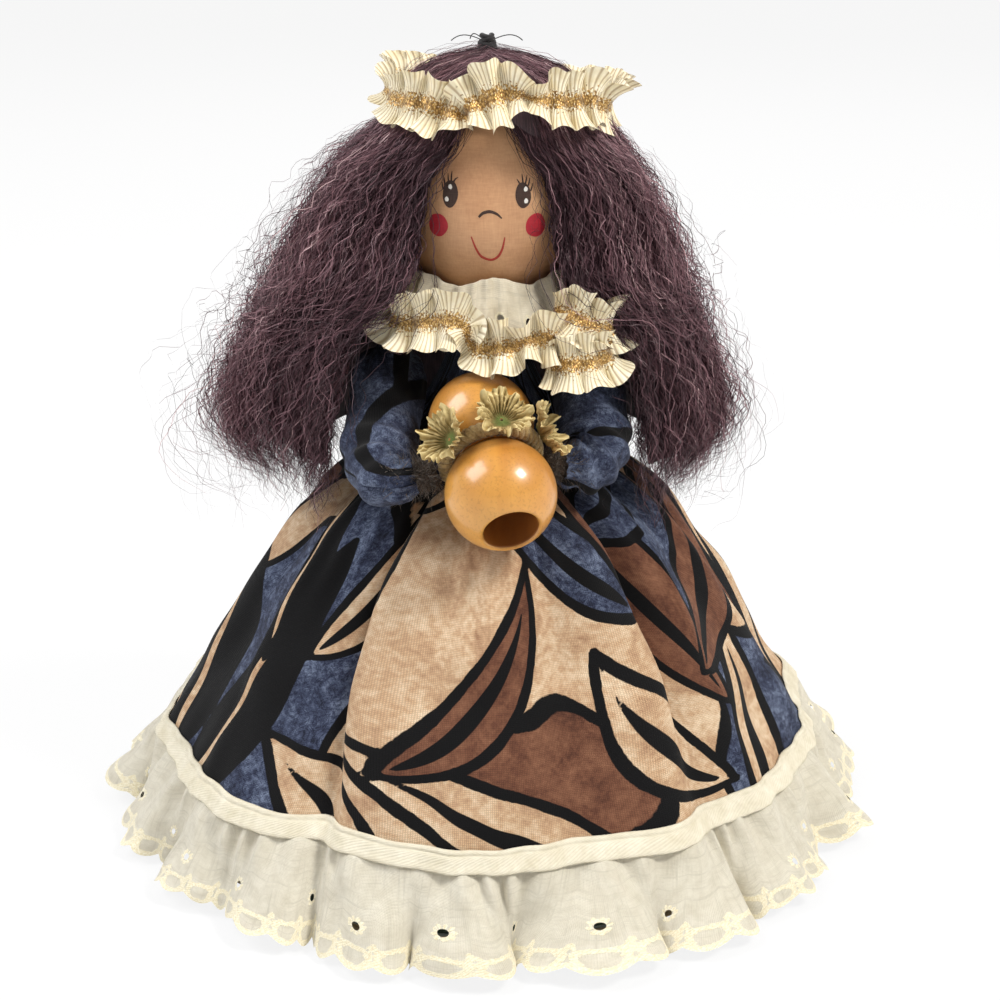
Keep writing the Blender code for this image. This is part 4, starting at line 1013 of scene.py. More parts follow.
def cut_eyelets(holes, flat):
    """Open the eyelets in a sheet: drop the points inside each and draw the ring round them onto its edge."""

    def cut(mesh, u, v):
        laid = np.stack(flat(u, v), 1)
        columns = int(np.argmax(laid[:, 1] > laid[0, 1] + 1e-6))
        points = read_points(mesh)
        away = np.full(len(laid), np.inf)
        shift = np.zeros_like(laid)
        for x, y, size in holes:
            offset = laid - (x, y)
            reach = np.hypot(*offset.T)
            near = reach - size < away
            away[near] = (reach - size)[near]
            shift[near] = offset[near] * (size / np.maximum(reach[near], 1e-6) - 1)[:, None]
        inside = (away < 0).reshape(-1, columns)
        ring = inside | np.roll(inside, 1, 1) | np.roll(inside, -1, 1)
        ring[1:] |= ring[:-1].copy()
        ring[:-1] |= ring[1:].copy()
        rim = np.nonzero((ring & ~inside).ravel() & (away < 1.0))[0]
        shift_points(points, laid, columns, rim, shift[rim])
        mesh.vertices.foreach_set("co", points.ravel())

        def drop_inside(bm):
            bm.verts.ensure_lookup_table()
            doomed = [bm.verts[k] for k in np.nonzero(inside.ravel())[0]]
            bmesh.ops.delete(bm, geom=doomed, context="VERTS")

        reshape(mesh, drop_inside)

    return cut


def shift_points(points, laid, columns, rim, step):
    """Move a rim of grid points by steps on the flat cloth, using the grid's own neighbours."""
    old = points.copy()
    wide = laid[1, 0] - laid[0, 0]
    tall = laid[columns, 1] - laid[0, 1]
    right = np.clip(rim + 1, 0, len(points) - 1)
    above = np.clip(rim + columns, 0, len(points) - 1)
    sideways = (old[right] - old[rim]) * (step[:, :1] / wide)
    points[rim] += sideways + (old[above] - old[rim]) * (step[:, 1:] / tall)


def make_lace():
    lace = cloth("hem_lace", 1560, 60, lace_place, LACE, flat=lace_flat, fields=lace_fields,
                 cut=cut_eyelets(lace_holes(), lace_flat))
    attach(lace, "torso")
    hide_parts("hem_ruffle")
    return lace


def collar_path():
    """The frill from its edge, up the flap, over the fold and down inside to the neck."""
    return np.array([(28.0, 131.0), (25.8, 138.0), (22.4, 144.0), (21.0, 146.0),
                     (19.6, 144.8), (13.8, 137.5), (7.8, 130.6)])


def collar_place(u, v):
    azimuth = azimuth_of(u)
    path = collar_path()
    reach = np.concatenate([[0], np.cumsum(np.linalg.norm(np.diff(path, axis=0), axis=1))])
    share = v * reach[-1]
    radius = smooth_curve(list(zip(reach, path[:, 0])), share)
    height = smooth_curve(list(zip(reach, path[:, 1])), share)
    edge = 1 - ease(0, reach[3], share)
    phase = 15 * azimuth + 1.2 * np.sin(3 * azimuth + 1)
    radius = radius + edge * (1.5 * np.cos(phase) - 0.5)
    height = height + edge * (1.3 * np.sin(phase * 0.5 + 1) + 0.8 * np.cos(2 * azimuth))
    height += 1.1 * np.exp(-((share - reach[3]) / 4) ** 2) * np.sin(7 * azimuth + 1)
    radius += 0.4 * np.cos(34 * azimuth + 2 * np.sin(5 * azimuth))
    radius += 0.3 * ripple(17, azimuth * 22, share, 7.0)
    return polar(azimuth, np.maximum(radius, egg_radius(height) + 0.5), height)


def collar_flat(u, v):
    return u * COLLAR_LENGTH, v * COLLAR_WIDTH


def collar_holes():
    pitch = COLLAR_LENGTH / COLLAR_EYELETS
    return np.array([((k + 0.5) * pitch, 4.4, EYELET_RADIUS) for k in range(COLLAR_EYELETS)])


def collar_fields(u, v):
    across, up = collar_flat(u, v)
    stitch = np.exp(-((up - 0.5) / 1.1) ** 2)
    for x, y, size in collar_holes():
        away = np.hypot(across - x, up - y)
        stitch = np.maximum(stitch, np.exp(-((away - size - 0.3) / 0.45) ** 2))
    return {"stitch": stitch}


def make_collar():
    collar = cloth("collar_frill", 420, 56, collar_place, COLLAR_LACE, flat=collar_flat, fields=collar_fields,
                   cut=cut_eyelets(collar_holes(), collar_flat))
    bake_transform(collar)
    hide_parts("collar_ruffle")
    return collar


# Ruched ribbons


def path_through(stations, count):
    """Points spaced along a smooth line through stations, and the line's length."""
    stations = np.array(stations, float)
    steps = np.linalg.norm(np.diff(stations[:, :3], axis=0), axis=1)
    reach = np.concatenate([[0.0], np.cumsum(steps)])
    at = np.linspace(0, reach[-1], count)
    return np.stack([smooth_curve(list(zip(reach, column)), at) for column in stations.T], 1), reach[-1]


def ruched_ribbon(name, stations, middle, columns, seed):
    """A ribbon gathered along its middle by a gold thread, which goes through stations on a lei's line."""
    rng = np.random.default_rng(seed)
    first, second, third = rng.uniform(0, math.tau, 3)
    line, length = path_through(stations, columns + 1)
    path, lean, shown = line[:, :3], np.radians(line[:, 3:4]), line[:, 4]
    run = unit(np.gradient(path, axis=0))
    out = path - (middle, 0.0, 0.0)
    out[:, 2] = 0.0
    out = unit(out - run * np.sum(out * run, 1)[:, None])
    up = np.cross(out, run)
    face = out * np.cos(lean) - up * np.sin(lean)
    rise = up * np.cos(lean) + out * np.sin(lean)

    def place(u, v):
        at = np.rint(u * columns).astype(int)
        across = (v - 0.5) * 2
        reach = u * length
        phase = math.tau * reach / PLEAT + 1.3 * np.sin(reach / 11 + first)
        phase += 0.8 * np.sin(reach / 5.3 + second)
        depth = 1.75 + 0.6 * np.sin(reach / 7 + third) + 0.4 * (1 - shown[at])
        flare = np.abs(across) ** 1.25
        hand = np.where(across > 0, 0.5, -0.45)
        fold = depth * (0.3 * np.cos(phase) + flare * np.cos(phase + hand * flare))
        fold += 0.3 * depth * flare * np.cos(1.9 * phase + third) + 2.0 * flare**2
        sway = 1.3 * flare * np.sin(phase + hand)
        half = RIBBON_WIDTH / 2 * shown[at] * (1 - 0.07 * np.cos(2 * phase) * flare)
        spot = path[at] + face[at] * fold[:, None] + rise[at] * (half * across)[:, None]
        return spot + run[at] * sway[:, None]

    def flat(u, v):
        return u * length * 1.5, v * RIBBON_WIDTH

    return cloth(name, columns, 22, place, RIBBON, closed=False, flat=flat,
                 fields=lambda u, v: {"gold": 0.98 - np.abs(v - 0.5) * 1.9})


def crown_outside(azimuth):
    """Radius of the hair at the crown's lower edge."""
    least = np.where(np.cos(azimuth) > 0, 0.12, 0.6)
    return 17.7 + 13.3 * (least + (1 - least) * np.sin(azimuth) ** 2)


# Places of the gold threads, the lean of the ribbon in degrees, its lower edge outward below zero, and
# the share of its width that is not tucked away
HEAD_LEI = (
    (-9, 18, 186, 0, 1.0), (-17, 9, 190, 0, 0.95), (-22, 2, 190.8, 5, 1.0), (-24.4, -5, 189.4, -15, 0.5),
    (-21.3, -12.5, 188.4, -20, 0.95), (-15.5, -17, 188.4, -20, 1.05), (-9.1, -20.4, 186.4, -25, 1.05),
    (-6.0, -21.4, 186.0, -35, 0.55), (-3.6, -22.3, 188.2, -20, 0.95), (0.8, -23.2, 190.4, -16, 1.25),
    (5.0, -23.2, 191.4, -14, 1.15), (7.6, -22.2, 191.0, -10, 0.6), (9.8, -21.4, 190.2, -5, 0.36),
    (12.2, -21, 189.6, -10, 0.6), (15.2, -20.6, 189.4, -18, 1.05), (19.8, -18.4, 188.8, -15, 1.0),
    (24.2, -15.2, 188.8, -12, 1.05), (27.0, -12, 187.2, 5, 0.75), (28.6, -8.5, 186.2, 18, 1.0),
    (29.6, -3, 186.0, 24, 1.1), (30.2, 4, 186.2, 15, 1.0), (27.2, 14, 185.6, 10, 1.0),
    (16, 22, 184.5, 0, 1.0), (3, 24, 184.5, 0, 1.0), (-9, 20.8, 186, 0, 1.0), (-16, 13.6, 188.6, 0, 0.95),
)
NECK_LEI = (
    (16, -27, 140.4, 0, 0.8), (19, -29, 140, -10, 1.0), (23, -30.4, 138.8, -15, 1.05),
    (27, -29.8, 137, -15, 0.7), (30, -25, 136, -15, 1.0), (32.6, -13, 136, -10, 1.0),
    (32, 4, 136.5, -10, 1.0), (26, 18, 137, -10, 1.0), (12, 28, 137.5, -10, 1.0), (-4, 30, 137.5, -10, 1.0),
    (-20, 23, 137.5, -10, 1.0), (-28.5, 9, 138, -10, 1.0), (-27.2, -3, 140, -5, 0.9),
    (-23.4, -11, 141.8, 5, 0.85), (-22.6, -16, 139, 0, 0.5),
    (-22.8, -20.5, 136.4, -15, 0.9), (-19.4, -25.2, 136.9, -20, 1.05), (-14.2, -29, 138.2, -20, 1.1),
    (-8.7, -31.2, 139.1, -20, 1.1), (-5.0, -31.6, 137.8, -20, 0.75), (-4.6, -30.6, 134.6, -15, 0.42),
    (-2.4, -31.8, 132.2, -20, 0.8), (1.6, -33.4, 132.9, -22, 1.05), (6.0, -34.2, 133.6, -22, 1.0),
    (9.0, -33.8, 134.8, -15, 0.6), (12.0, -33.8, 135.4, -18, 1.0), (15.2, -33, 135.4, -12, 1.0),
    (17.6, -31.6, 134.6, -5, 0.8),
)
NECK_LEI_TAIL = (
    (14.4, -33.2, 129.4, -10, 0.8), (17.0, -35, 129.4, -22, 1.05), (21.0, -36, 129.8, -25, 1.05),
    (25.2, -35, 130, -25, 1.0), (28.4, -32.5, 130.6, -15, 1.0), (30.2, -28.5, 133, 0, 0.75),
)


def make_leis():
    head_lei = ruched_ribbon("head_lei_ribbon", HEAD_LEI, 4.6, 1300, 4)
    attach(head_lei, "head")
    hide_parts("head_lei")
    neck_lei = ruched_ribbon("neck_lei_ribbon", NECK_LEI, 2.0, 1800, 9)
    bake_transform(neck_lei)
    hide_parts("neck_lei")
    tail = ruched_ribbon("neck_lei_tail", NECK_LEI_TAIL, 2.0, 260, 11)
    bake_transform(tail)
    return head_lei, neck_lei, tail


# Head and face


def turned(name, outline, sides, finishes, matrix=None, inner=None):
    """Spin a (radius, height) outline round Z. Faces that inner picks take the second finish."""
    bm = bmesh.new()
    points = [bm.verts.new((radius * MM, 0, height * MM)) for radius, height in outline]
    edges = [bm.edges.new(pair) for pair in zip(points, points[1:])]
    bmesh.ops.spin(bm, geom=points + edges, cent=(0, 0, 0), axis=(0, 0, 1), angle=math.tau, steps=sides,
                   use_merge=True)
    close_seams(bm)
    face_out(bm)
    if inner:
        for face in bm.faces:
            face.material_index = 1 if inner(face.calc_center_median() / MM) else 0
    if matrix is not None:
        bmesh.ops.transform(bm, verts=bm.verts, matrix=matrix)
    mesh = mesh_of(name, bm)
    thing = put(name, mesh, *finishes)
    mesh.set_sharp_from_angle(angle=math.radians(40))
    return thing


def make_head():
    outline = [(0, HEAD_TOP)]
    steps = 72
    for step in range(1, steps):
        turn = math.pi * step / steps
        reach = HEAD_UPPER if turn < math.pi / 2 else HEAD_LOWER
        height = HEAD_WIDEST + reach * math.cos(turn)
        radius = float(egg_radius(height))
        if radius > 8.3 or turn < math.pi / 2:
            outline.append((radius, height))
    outline += [(8.0, HEAD_BOTTOM + 0.3), (7.4, HEAD_BOTTOM)]
    outline += [(HEAD_BORE + 0.4, HEAD_BOTTOM), (HEAD_BORE, HEAD_BOTTOM + 0.4)]
    outline += [(HEAD_BORE, HEAD_BOTTOM + BORE_DEPTH), (0, HEAD_BOTTOM + BORE_DEPTH)]
    head = turned("painted_head", outline, 120, (FLESH, PLAIN_WOOD),
                  inner=lambda middle: math.hypot(middle.x, middle.y) < 5.2 and middle.z < HEAD_WIDEST + 12)
    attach(head, "head")
    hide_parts("head")


def on_face(x, z, lift):
    reach = np.sqrt(np.clip(egg_radius(z) ** 2 - x**2, 0, None))
    scale = (egg_radius(z) + lift) / np.maximum(egg_radius(z), 1e-6)
    return np.stack([x * scale, -reach * scale, z], -1)


def dab(bm, middle, half, lift, lean, wobble, seed):
    """A round dab of paint on the face."""
    made = bmesh.ops.create_circle(bm, cap_ends=True, cap_tris=True, segments=40, radius=1.0)
    edges = list({edge for point in made["verts"] for edge in point.link_edges})
    bmesh.ops.subdivide_edges(bm, edges=edges, cuts=3, use_grid_fill=True)
    fresh = [point for point in bm.verts if not point.tag]
    flat = np.array([point.co[:2] for point in fresh])
    angle = np.arctan2(flat[:, 1], flat[:, 0])
    size = 1 + wobble * np.sin(3 * angle + seed) + wobble * 0.6 * np.sin(5 * angle + 2 * seed)
    x = middle[0] + flat[:, 0] * half[0] * size + lean * flat[:, 1]
    z = middle[1] + flat[:, 1] * half[1] * size
    bow = np.clip(1 - np.hypot(flat[:, 0], flat[:, 1]) ** 4, 0, 1)
    settle(fresh, on_face(x, z, lift + 0.06 * bow))


def stroke(bm, points, widths):
    """A brush stroke on the face through (x, z) points."""
    bmesh.ops.create_grid(bm, x_segments=24, y_segments=4, size=0.5)
    fresh = [point for point in bm.verts if not point.tag]
    flat = np.array([point.co[:2] for point in fresh]) + 0.5
    spots = np.linspace(0, 1, len(points))
    path = np.array(points, float)

    def drawn(at):
        return [smooth_curve(list(zip(spots, column)), at) for column in path.T]

    x, z = drawn(flat[:, 0])
    after = drawn(np.clip(flat[:, 0] + 0.01, 0, 1))
    before = drawn(np.clip(flat[:, 0] - 0.01, 0, 1))
    run_x = after[0] - before[0]
    run_z = after[1] - before[1]
    long = np.hypot(run_x, run_z)
    half = np.interp(flat[:, 0], np.linspace(0, 1, len(widths)), widths) / 2
    across = (flat[:, 1] - 0.5) * 2
    x = x - run_z / long * half * across
    z = z + run_x / long * half * across
    settle(fresh, on_face(x, z, PAINT_LIFT * (2 - across**2)))


def settle(fresh, points):
    for point, place in zip(fresh, points):
        point.co = Vector(place) * MM
        point.tag = True


def paint_piece(name, finish, draw):
    bm = bmesh.new()
    draw(bm)
    face_out(bm)
    for face in bm.faces:
        if face.normal.y > 0:
            face.normal_flip()
    piece = put(name, mesh_of(name, bm), finish)
    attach(piece, "head")


def draw_brown(bm):
    dab(bm, (-8.72, 167.0), (1.82, 3.2), 0.06, 0.18, 0.015, 1)
    dab(bm, (8.6, 166.7), (1.86, 3.0), 0.06, -0.2, 0.015, 2)
    for lash in LASHES:
        stroke(bm, lash, LASH_WIDTHS)
    stroke(bm, NOSE, NOSE_WIDTHS)


def draw_white(bm):
    for spot in EYE_LIGHTS:
        dab(bm, spot, (0.46, 0.58), 0.15, 0.0, 0.05, spot[0])


def draw_cheeks(bm):
    dab(bm, (-11.65, 159.35), (2.3, 2.75), PAINT_LIFT, 0.0, 0.02, 1)
    dab(bm, (11.6, 159.3), (2.35, 2.85), PAINT_LIFT, 0.0, 0.02, 4)


def draw_mouth(bm):
    stroke(bm, MOUTH, MOUTH_WIDTHS)


def make_face():
    paint_piece("eyes_lashes_nose", BROWN_PAINT, draw_brown)
    paint_piece("eye_lights", WHITE_PAINT, draw_white)
    paint_piece("cheeks", CHEEK_PAINT, draw_cheeks)
    paint_piece("mouth", MOUTH_PAINT, draw_mouth)


# Hair


def under_lei(points):
    """Hold strands in under the head lei, which is tied over them."""
    lei = np.array(HEAD_LEI)
    azimuths = np.arctan2(lei[:, 0], -lei[:, 1])
    order = np.argsort(azimuths)
    limits = np.hypot(lei[:, 0], lei[:, 1])[order] - 2.6
    x, y, height = points[..., 0], points[..., 1], points[..., 2]
    reach = np.hypot(x, y)
    limit = np.interp(np.arctan2(x, -y), azimuths[order], limits, period=math.tau)
    held = np.minimum(reach, np.maximum(limit, egg_radius(height) + 0.8))
    share = 1 + (held / np.maximum(reach, 1e-6) - 1) * ease(177.0, 184.0, height)
    points[..., 0] *= share
    points[..., 1] *= share


def hair_front(height):
    return np.radians(smooth_curve(HAIR_FRONT, height))


def hair_inside(height):
    return np.where(height >= HEAD_WIDEST, egg_radius(height) + 0.8, smooth_curve(HAIR_LINING, height))


def hair_outside(azimuth, height, side):
    """Outside of the hair. The azimuth is counted towards the side that the hank hangs on."""
    lean = HAIR_LEAN * ease(CROWN_BOTTOM, 103.0, height)
    width = smooth_curve(HAIR_WIDTH, height) - lean * np.sin(azimuth) * side
    least = np.where(np.cos(azimuth) > 0, 1.0, HAIR_BACK_SHARE)
    full = width / np.hypot(np.sin(azimuth), np.cos(azimuth) / least)
    lining = hair_inside(height)
    past = ease(0, math.radians(34), azimuth - hair_front(height))
    return lining + (np.maximum(full, lining + 2.4) - lining) * (0.16 + 0.84 * past)


def strand_paths(side, count, lanes, depths, seed, wild):
    """Middle lines of strands that start at the parting, lie over the crown and fall beside or behind the
    face, with the way out and the shade of each. lanes go from the front edge (0) to the middle of the
    back (1), depths from the lining (0) out (1), and wild loosens strands from their locks."""
    rng = np.random.default_rng(seed)
    locks = count // STRANDS_IN_LOCK + 1
    lock = np.repeat(np.arange(locks), STRANDS_IN_LOCK)[:count]

    def by_lock(values):
        return values[lock][:, None]

    # What each lock has in common, and each strand's own share of chance
    lane = by_lock(rng.uniform(*lanes, locks)) + rng.normal(0, 0.014 + 0.03 * wild, (count, 1))
    lane = np.clip(lane, -0.1 * wild, 1.0)
    deep = rng.uniform(*depths, locks)
    depth = by_lock(deep) + rng.normal(0, 0.05 + 0.06 * wild, (count, 1))
    end = HAIR_END + 7 + by_lock(rng.normal(0, 5.0, locks)) + rng.normal(0, 3.5, (count, 1))
    phase = by_lock(rng.uniform(0, math.tau, locks)) + rng.normal(0, 0.7 + wild, (count, 1))
    period = by_lock(rng.uniform(9.0, 15.0, locks)) * (1 + rng.normal(0, 0.04 + 0.1 * wild, (count, 1)))
    swing = by_lock(rng.uniform(0, math.tau, locks)) + rng.normal(0, 0.35 + wild, (count, 1))
    reach = by_lock(rng.uniform(0.4, 1.1, locks)) * (1 + 1.2 * wild)

    # Down from the crown's edge
    down = np.linspace(0, 1, HAIR_POINTS - CROWN_POINTS)[None, :]
    height = CROWN_BOTTOM - (CROWN_BOTTOM - end) * down
    front = hair_front(height)
    azimuth = front + (math.pi - front) * lane
    lining = hair_inside(height)
    radius = lining + (hair_outside(azimuth, height, side) - lining) * depth

    # Over the crown from the parting
    over = np.linspace(0, 1, CROWN_POINTS, endpoint=False)[None, :]
    along = np.sin(over * math.pi / 2)
    start_y = -13.0 + 31.0 * np.clip(lane, 0, 1) ** 0.8 + rng.normal(0, 0.5, (count, 1))
    end_x = radius[:, :1] * np.sin(azimuth[:, :1])
    end_y = -radius[:, :1] * np.cos(azimuth[:, :1])
    start_x = rng.normal(-0.2, 0.5, (count, 1))
    x = start_x + (end_x - start_x) * along
    y = start_y + (end_y - start_y) * along
    turn = np.arctan2(x, -y)
    edge = radius[:, :1] * crown_outside(turn) / crown_outside(azimuth[:, :1])
    share = np.clip(np.hypot(x, y) / edge, 0, 1)
    dome = 16.0 + 3.6 * np.clip(depth, 0, 1.05)
    crown = np.stack([x, y, CROWN_BOTTOM + dome * np.sqrt(1 - share**2)], -1)
    points = np.concatenate([crown, polar(azimuth, radius, height)], 1)
    points[..., 0] *= side
    under_lei(points)
    for _ in range(7):
        points[:, 1:-1] = 0.25 * points[:, :-2] + 0.5 * points[:, 1:-1] + 0.25 * points[:, 2:]

    # Crimp, slow waves and loose strands
    height = points[..., 2]
    run = unit(np.gradient(points, axis=1))
    out = points * (1, 1, 0) + np.stack([height * 0, height * 0, np.maximum(height - 168, 0)], -1)
    out = unit(out - run * np.sum(out * run, 2)[..., None])
    level = np.cross(run, out)
    grown = 0.5 + 0.5 * (1 - ease(160.0, 186.0, height))
    fall = np.clip((CROWN_BOTTOM - height) / (CROWN_BOTTOM - HAIR_END), 0, 1)
    length = np.cumsum(np.linalg.norm(np.diff(points, axis=1, prepend=points[:, :1]), axis=2), 1)
    crimp = length * math.tau / period + phase + 0.9 * np.sin(length / 13 + swing * 2)
    aside = 0.55 * grown * np.sin(crimp)
    lift = 0.75 * grown * np.sin(crimp + 1.2)
    for low, high, size in ((4.4, 6.5, 0.34), (6.5, 11.0, 0.55)):
        pitch = math.tau / rng.uniform(low, high, (count, 1))
        starts = rng.uniform(0, math.tau, (2, count, 1))
        some = size * grown * (0.7 + 0.5 * np.sin(length / 9 + starts[0] * 3))
        aside += some * np.sin(length * pitch + starts[0])
        lift += some * np.sin(length * pitch * 1.1 + starts[1])
    aside += fall * reach * 2.4 * np.sin(length * math.tau / 37 + swing)
    lift += fall * reach * 2.0 * np.sin(length * math.tau / 31 + swing * 1.7)
    lift += (0.3 + wild) * ease(188.0, 193.0, height) * np.abs(rng.normal(0, 0.7, (count, 1)))
    away = 1 - ease(166.0, 186.0, height)
    lift += wild * (fall * rng.normal(1.5, 2.6, (count, 1)) + away * np.abs(rng.normal(0, 2.0, (count, 1))))
    aside += wild * (fall * rng.normal(0, 7.0, (count, 1)) + 2.5 * away * np.sin(length / 12 + swing))
    points = points + level * aside[..., None] + out * lift[..., None]

    # Off the wooden head, and the shade of each strand
    flat = np.hypot(points[..., 0], points[..., 1])
    least = np.where(points[..., 2] > 150, egg_radius(points[..., 2]) + 0.5, 0)
    points[..., :2] *= np.maximum(1, least / np.maximum(flat, 1e-6))[..., None]
    # Each strand's shade is a random tone by lock and strand, lower for loose strands, with painted shade:
    # darker deeper in the hair and along the front edge beside the face
    shade = by_lock(rng.normal(0.38, 0.13, locks) + 0.25 * (deep - 0.85))[:, 0] + rng.normal(0, 0.15, count)
    shade -= 0.3 * np.exp(-lane[:, 0] / 0.07) + 0.12 * wild
    return points, out, np.clip(shade, 0.0, 0.9)


def strand_piece(name, paths, radial, shade, width, seed, finish):
    """Strands as fine ribbons, made from one long grid that is cut between them."""
    count, steps = paths.shape[:2]
    bm = bmesh.new()
    bmesh.ops.create_grid(bm, x_segments=1, y_segments=count * steps - 1, size=0.5)
    bm.faces.ensure_lookup_table()
    gaps = [bm.faces[k] for k in range(steps - 1, count * steps - 1, steps)]
    bmesh.ops.delete(bm, geom=gaps, context="FACES_ONLY")
    mesh = mesh_of(name, bm)
    rng = np.random.default_rng(seed)
    run = unit(np.gradient(paths, axis=1))
    level = np.cross(run, radial)
    level /= np.maximum(np.linalg.norm(level, axis=2), 1e-6)[..., None]
    lean = rng.normal(0, 0.6, (count, 1, 1))
    across = level * np.cos(lean) + np.cross(level, run) * np.sin(lean)
    taper = np.interp(np.linspace(0, 1, steps), (0, 0.06, 0.85, 1), (0.6, 1, 1, 0.25))[None, :, None]
    half = across * taper * width / 2 * rng.uniform(0.75, 1.25, (count, 1, 1))
    rows = np.stack([paths - half, paths + half], 2)
    set_points(mesh, rows.reshape(-1, 3))
    set_field(mesh, "shade", np.repeat(shade, steps * 2))
    return put(name, mesh, finish)


def hair_mass(name, azimuths, side):
    """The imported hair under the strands, a closed hank between two azimuth limits."""
    bm = bmesh.new()
    bmesh.ops.create_grid(bm, x_segments=44, y_segments=44, size=0.5)
    grown = bmesh.ops.extrude_face_region(bm, geom=list(bm.faces), use_keep_orig=True)
    outer = [part for part in grown["geom"] if isinstance(part, bmesh.types.BMVert)]
    bmesh.ops.translate(bm, verts=outer, vec=(0, 0, 1))
    mesh = mesh_of(name, bm)
    grid = read_points(mesh).astype(float)
    u, v = grid[:, 0] + 0.5, grid[:, 1] + 0.5
    height = CROWN_BOTTOM - 0.3 + (HAIR_END + 9 - CROWN_BOTTOM) * v
    low, high = azimuths(height)
    azimuth = low + (high - low) * u
    middle = np.where(azimuth > math.pi, math.tau - azimuth, azimuth)
    hand = side if side else np.where(azimuth > math.pi, -1.0, 1.0)
    lining = hair_inside(height)
    outside = hair_outside(middle, height, hand)
    share = np.where(grid[:, 2] > 0.5, 0.66 - 0.3 * v**3, 0.06)
    radius = lining + (outside - lining) * share
    radius += np.where(grid[:, 2] > 0.5, 0.7 * ripple(21, azimuth * 40, height * 0.35, 6.0), 0)
    points = polar(azimuth, radius, height)
    if side:
        points[:, 0] *= side
    set_points(mesh, points)
    lay_flat(mesh, np.stack([azimuth * 50, height], 1))
    reshape(mesh, face_out)
    return put(name, mesh, HAIR_MASS)


def ride_neck(piece):
    """Bake a piece of long hair into its world place; it is tied to no body, so it does not turn with the
    head.
    """
    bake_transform(piece)


def make_hair():
    for hand, side in HANDS:
        mass = hair_mass(f"hair_mass_{hand}", lambda height: (hair_front(height) + 0.1, HAIR_MEETING), side)
        ride_neck(mass)
        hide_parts(f"hair_fall_{hand}")
    back = (HAIR_MEETING + 0.01, math.tau - HAIR_MEETING - 0.01)
    mass = hair_mass("hair_mass_back", lambda height: back, 0)
    ride_neck(mass)
    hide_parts("hair_fall_back")

    def cap_place(u, v):
        azimuth = azimuth_of(u)
        share = np.cos(v * math.pi / 2)
        rise = 9.0 * np.clip(np.cos(azimuth), 0, 1) ** 8 * (1 - v) ** 2
        radius = (crown_outside(azimuth) * 0.9 + 1.2) * share
        height = CROWN_BOTTOM + rise + 17.8 * np.sin(v * math.pi / 2)
        radius = np.maximum(radius, egg_radius(height) + 0.5)
        points = polar(azimuth, np.where(v > 0.999, 0.0, radius), height)
        under_lei(points)
        return points

    cap = cloth("hair_cap", 96, 30, cap_place, HAIR_MASS, flat=lambda u, v: (u * 150, v * 30))
    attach(cap, "head")
    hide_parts("hair_crown")

    for hand, side in HANDS:
        for layer, count, lanes, depths, seed, wild in HAIR_LAYERS:
            paths, radial, shade = strand_paths(side, count, lanes, depths, seed * 7 + side, wild)
            width = max(0.24 - 0.1 * wild, 0.1)
            ride_neck(strand_piece(f"hair_{layer}_{hand}", paths, radial, shade, width, seed + side, HAIR))


def make_knot():
    """The black thread that ties the crown, with its cut ends."""
    rng = np.random.default_rng(6)
    turns = np.linspace(0, 1, 160)
    angle = turns * math.tau * 4.0
    path = np.stack([(2.0 - 0.9 * turns) * np.cos(angle), (1.9 - 0.8 * turns) * np.sin(angle),
                     198.2 + 3.6 * turns + 0.3 * np.sin(angle * 1.5)], 1)
    knot = tube("hair_knot", path, 0.7, 10, THREAD)
    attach(knot, "head")
    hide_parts("hair_tie")
    for number in range(3):
        along = np.linspace(0, 1, 24)
        turn = rng.uniform(0, math.tau) + rng.uniform(-1, 1) * along
        reach = 7.5 * along
        path = np.stack([np.cos(turn) * (1.2 + reach), np.sin(turn) * (1.0 + 0.4 * reach),
                         200.6 + 3.2 * along - 3.4 * along**3], 1)
        end = tube(f"knot_end_{number}", path, 0.13, 6, THREAD)
        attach(end, "head")


# Drum, straw and arms


def drum_matrix(centre):
    turn = DRUM_AXIS.to_track_quat("Z", "Y").to_matrix().to_4x4()
    return Matrix.Translation(Vector(centre) * MM) @ turn


def make_gourd(name, centre, radius, node_name):
    bore = GOURD_BORE
    half = math.sqrt(radius**2 - (bore + GOURD_LIP) ** 2)
    start = math.atan2(half, bore + GOURD_LIP)
    outline = [(bore, -half + 0.9), (bore + 0.12, -half + 0.35), (bore + 0.45, -half + 0.02)]
    for step in range(61):
        turn = -start + 2 * start * step / 60
        outline.append((radius * math.cos(turn), radius * math.sin(turn)))
    outline += [(bore + 0.45, half - 0.02), (bore + 0.12, half - 0.35), (bore, half - 0.9)]
    outline += [(bore, half * 0.4), (bore, -half * 0.4), outline[0]]
    gourd = turned(name, outline, 110, (HONEY_WOOD, BORE_WOOD), drum_matrix(centre),
                   inner=lambda middle: math.hypot(middle.x, middle.y) < bore + 0.1)
    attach(gourd, "arms")
    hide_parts(node_name)


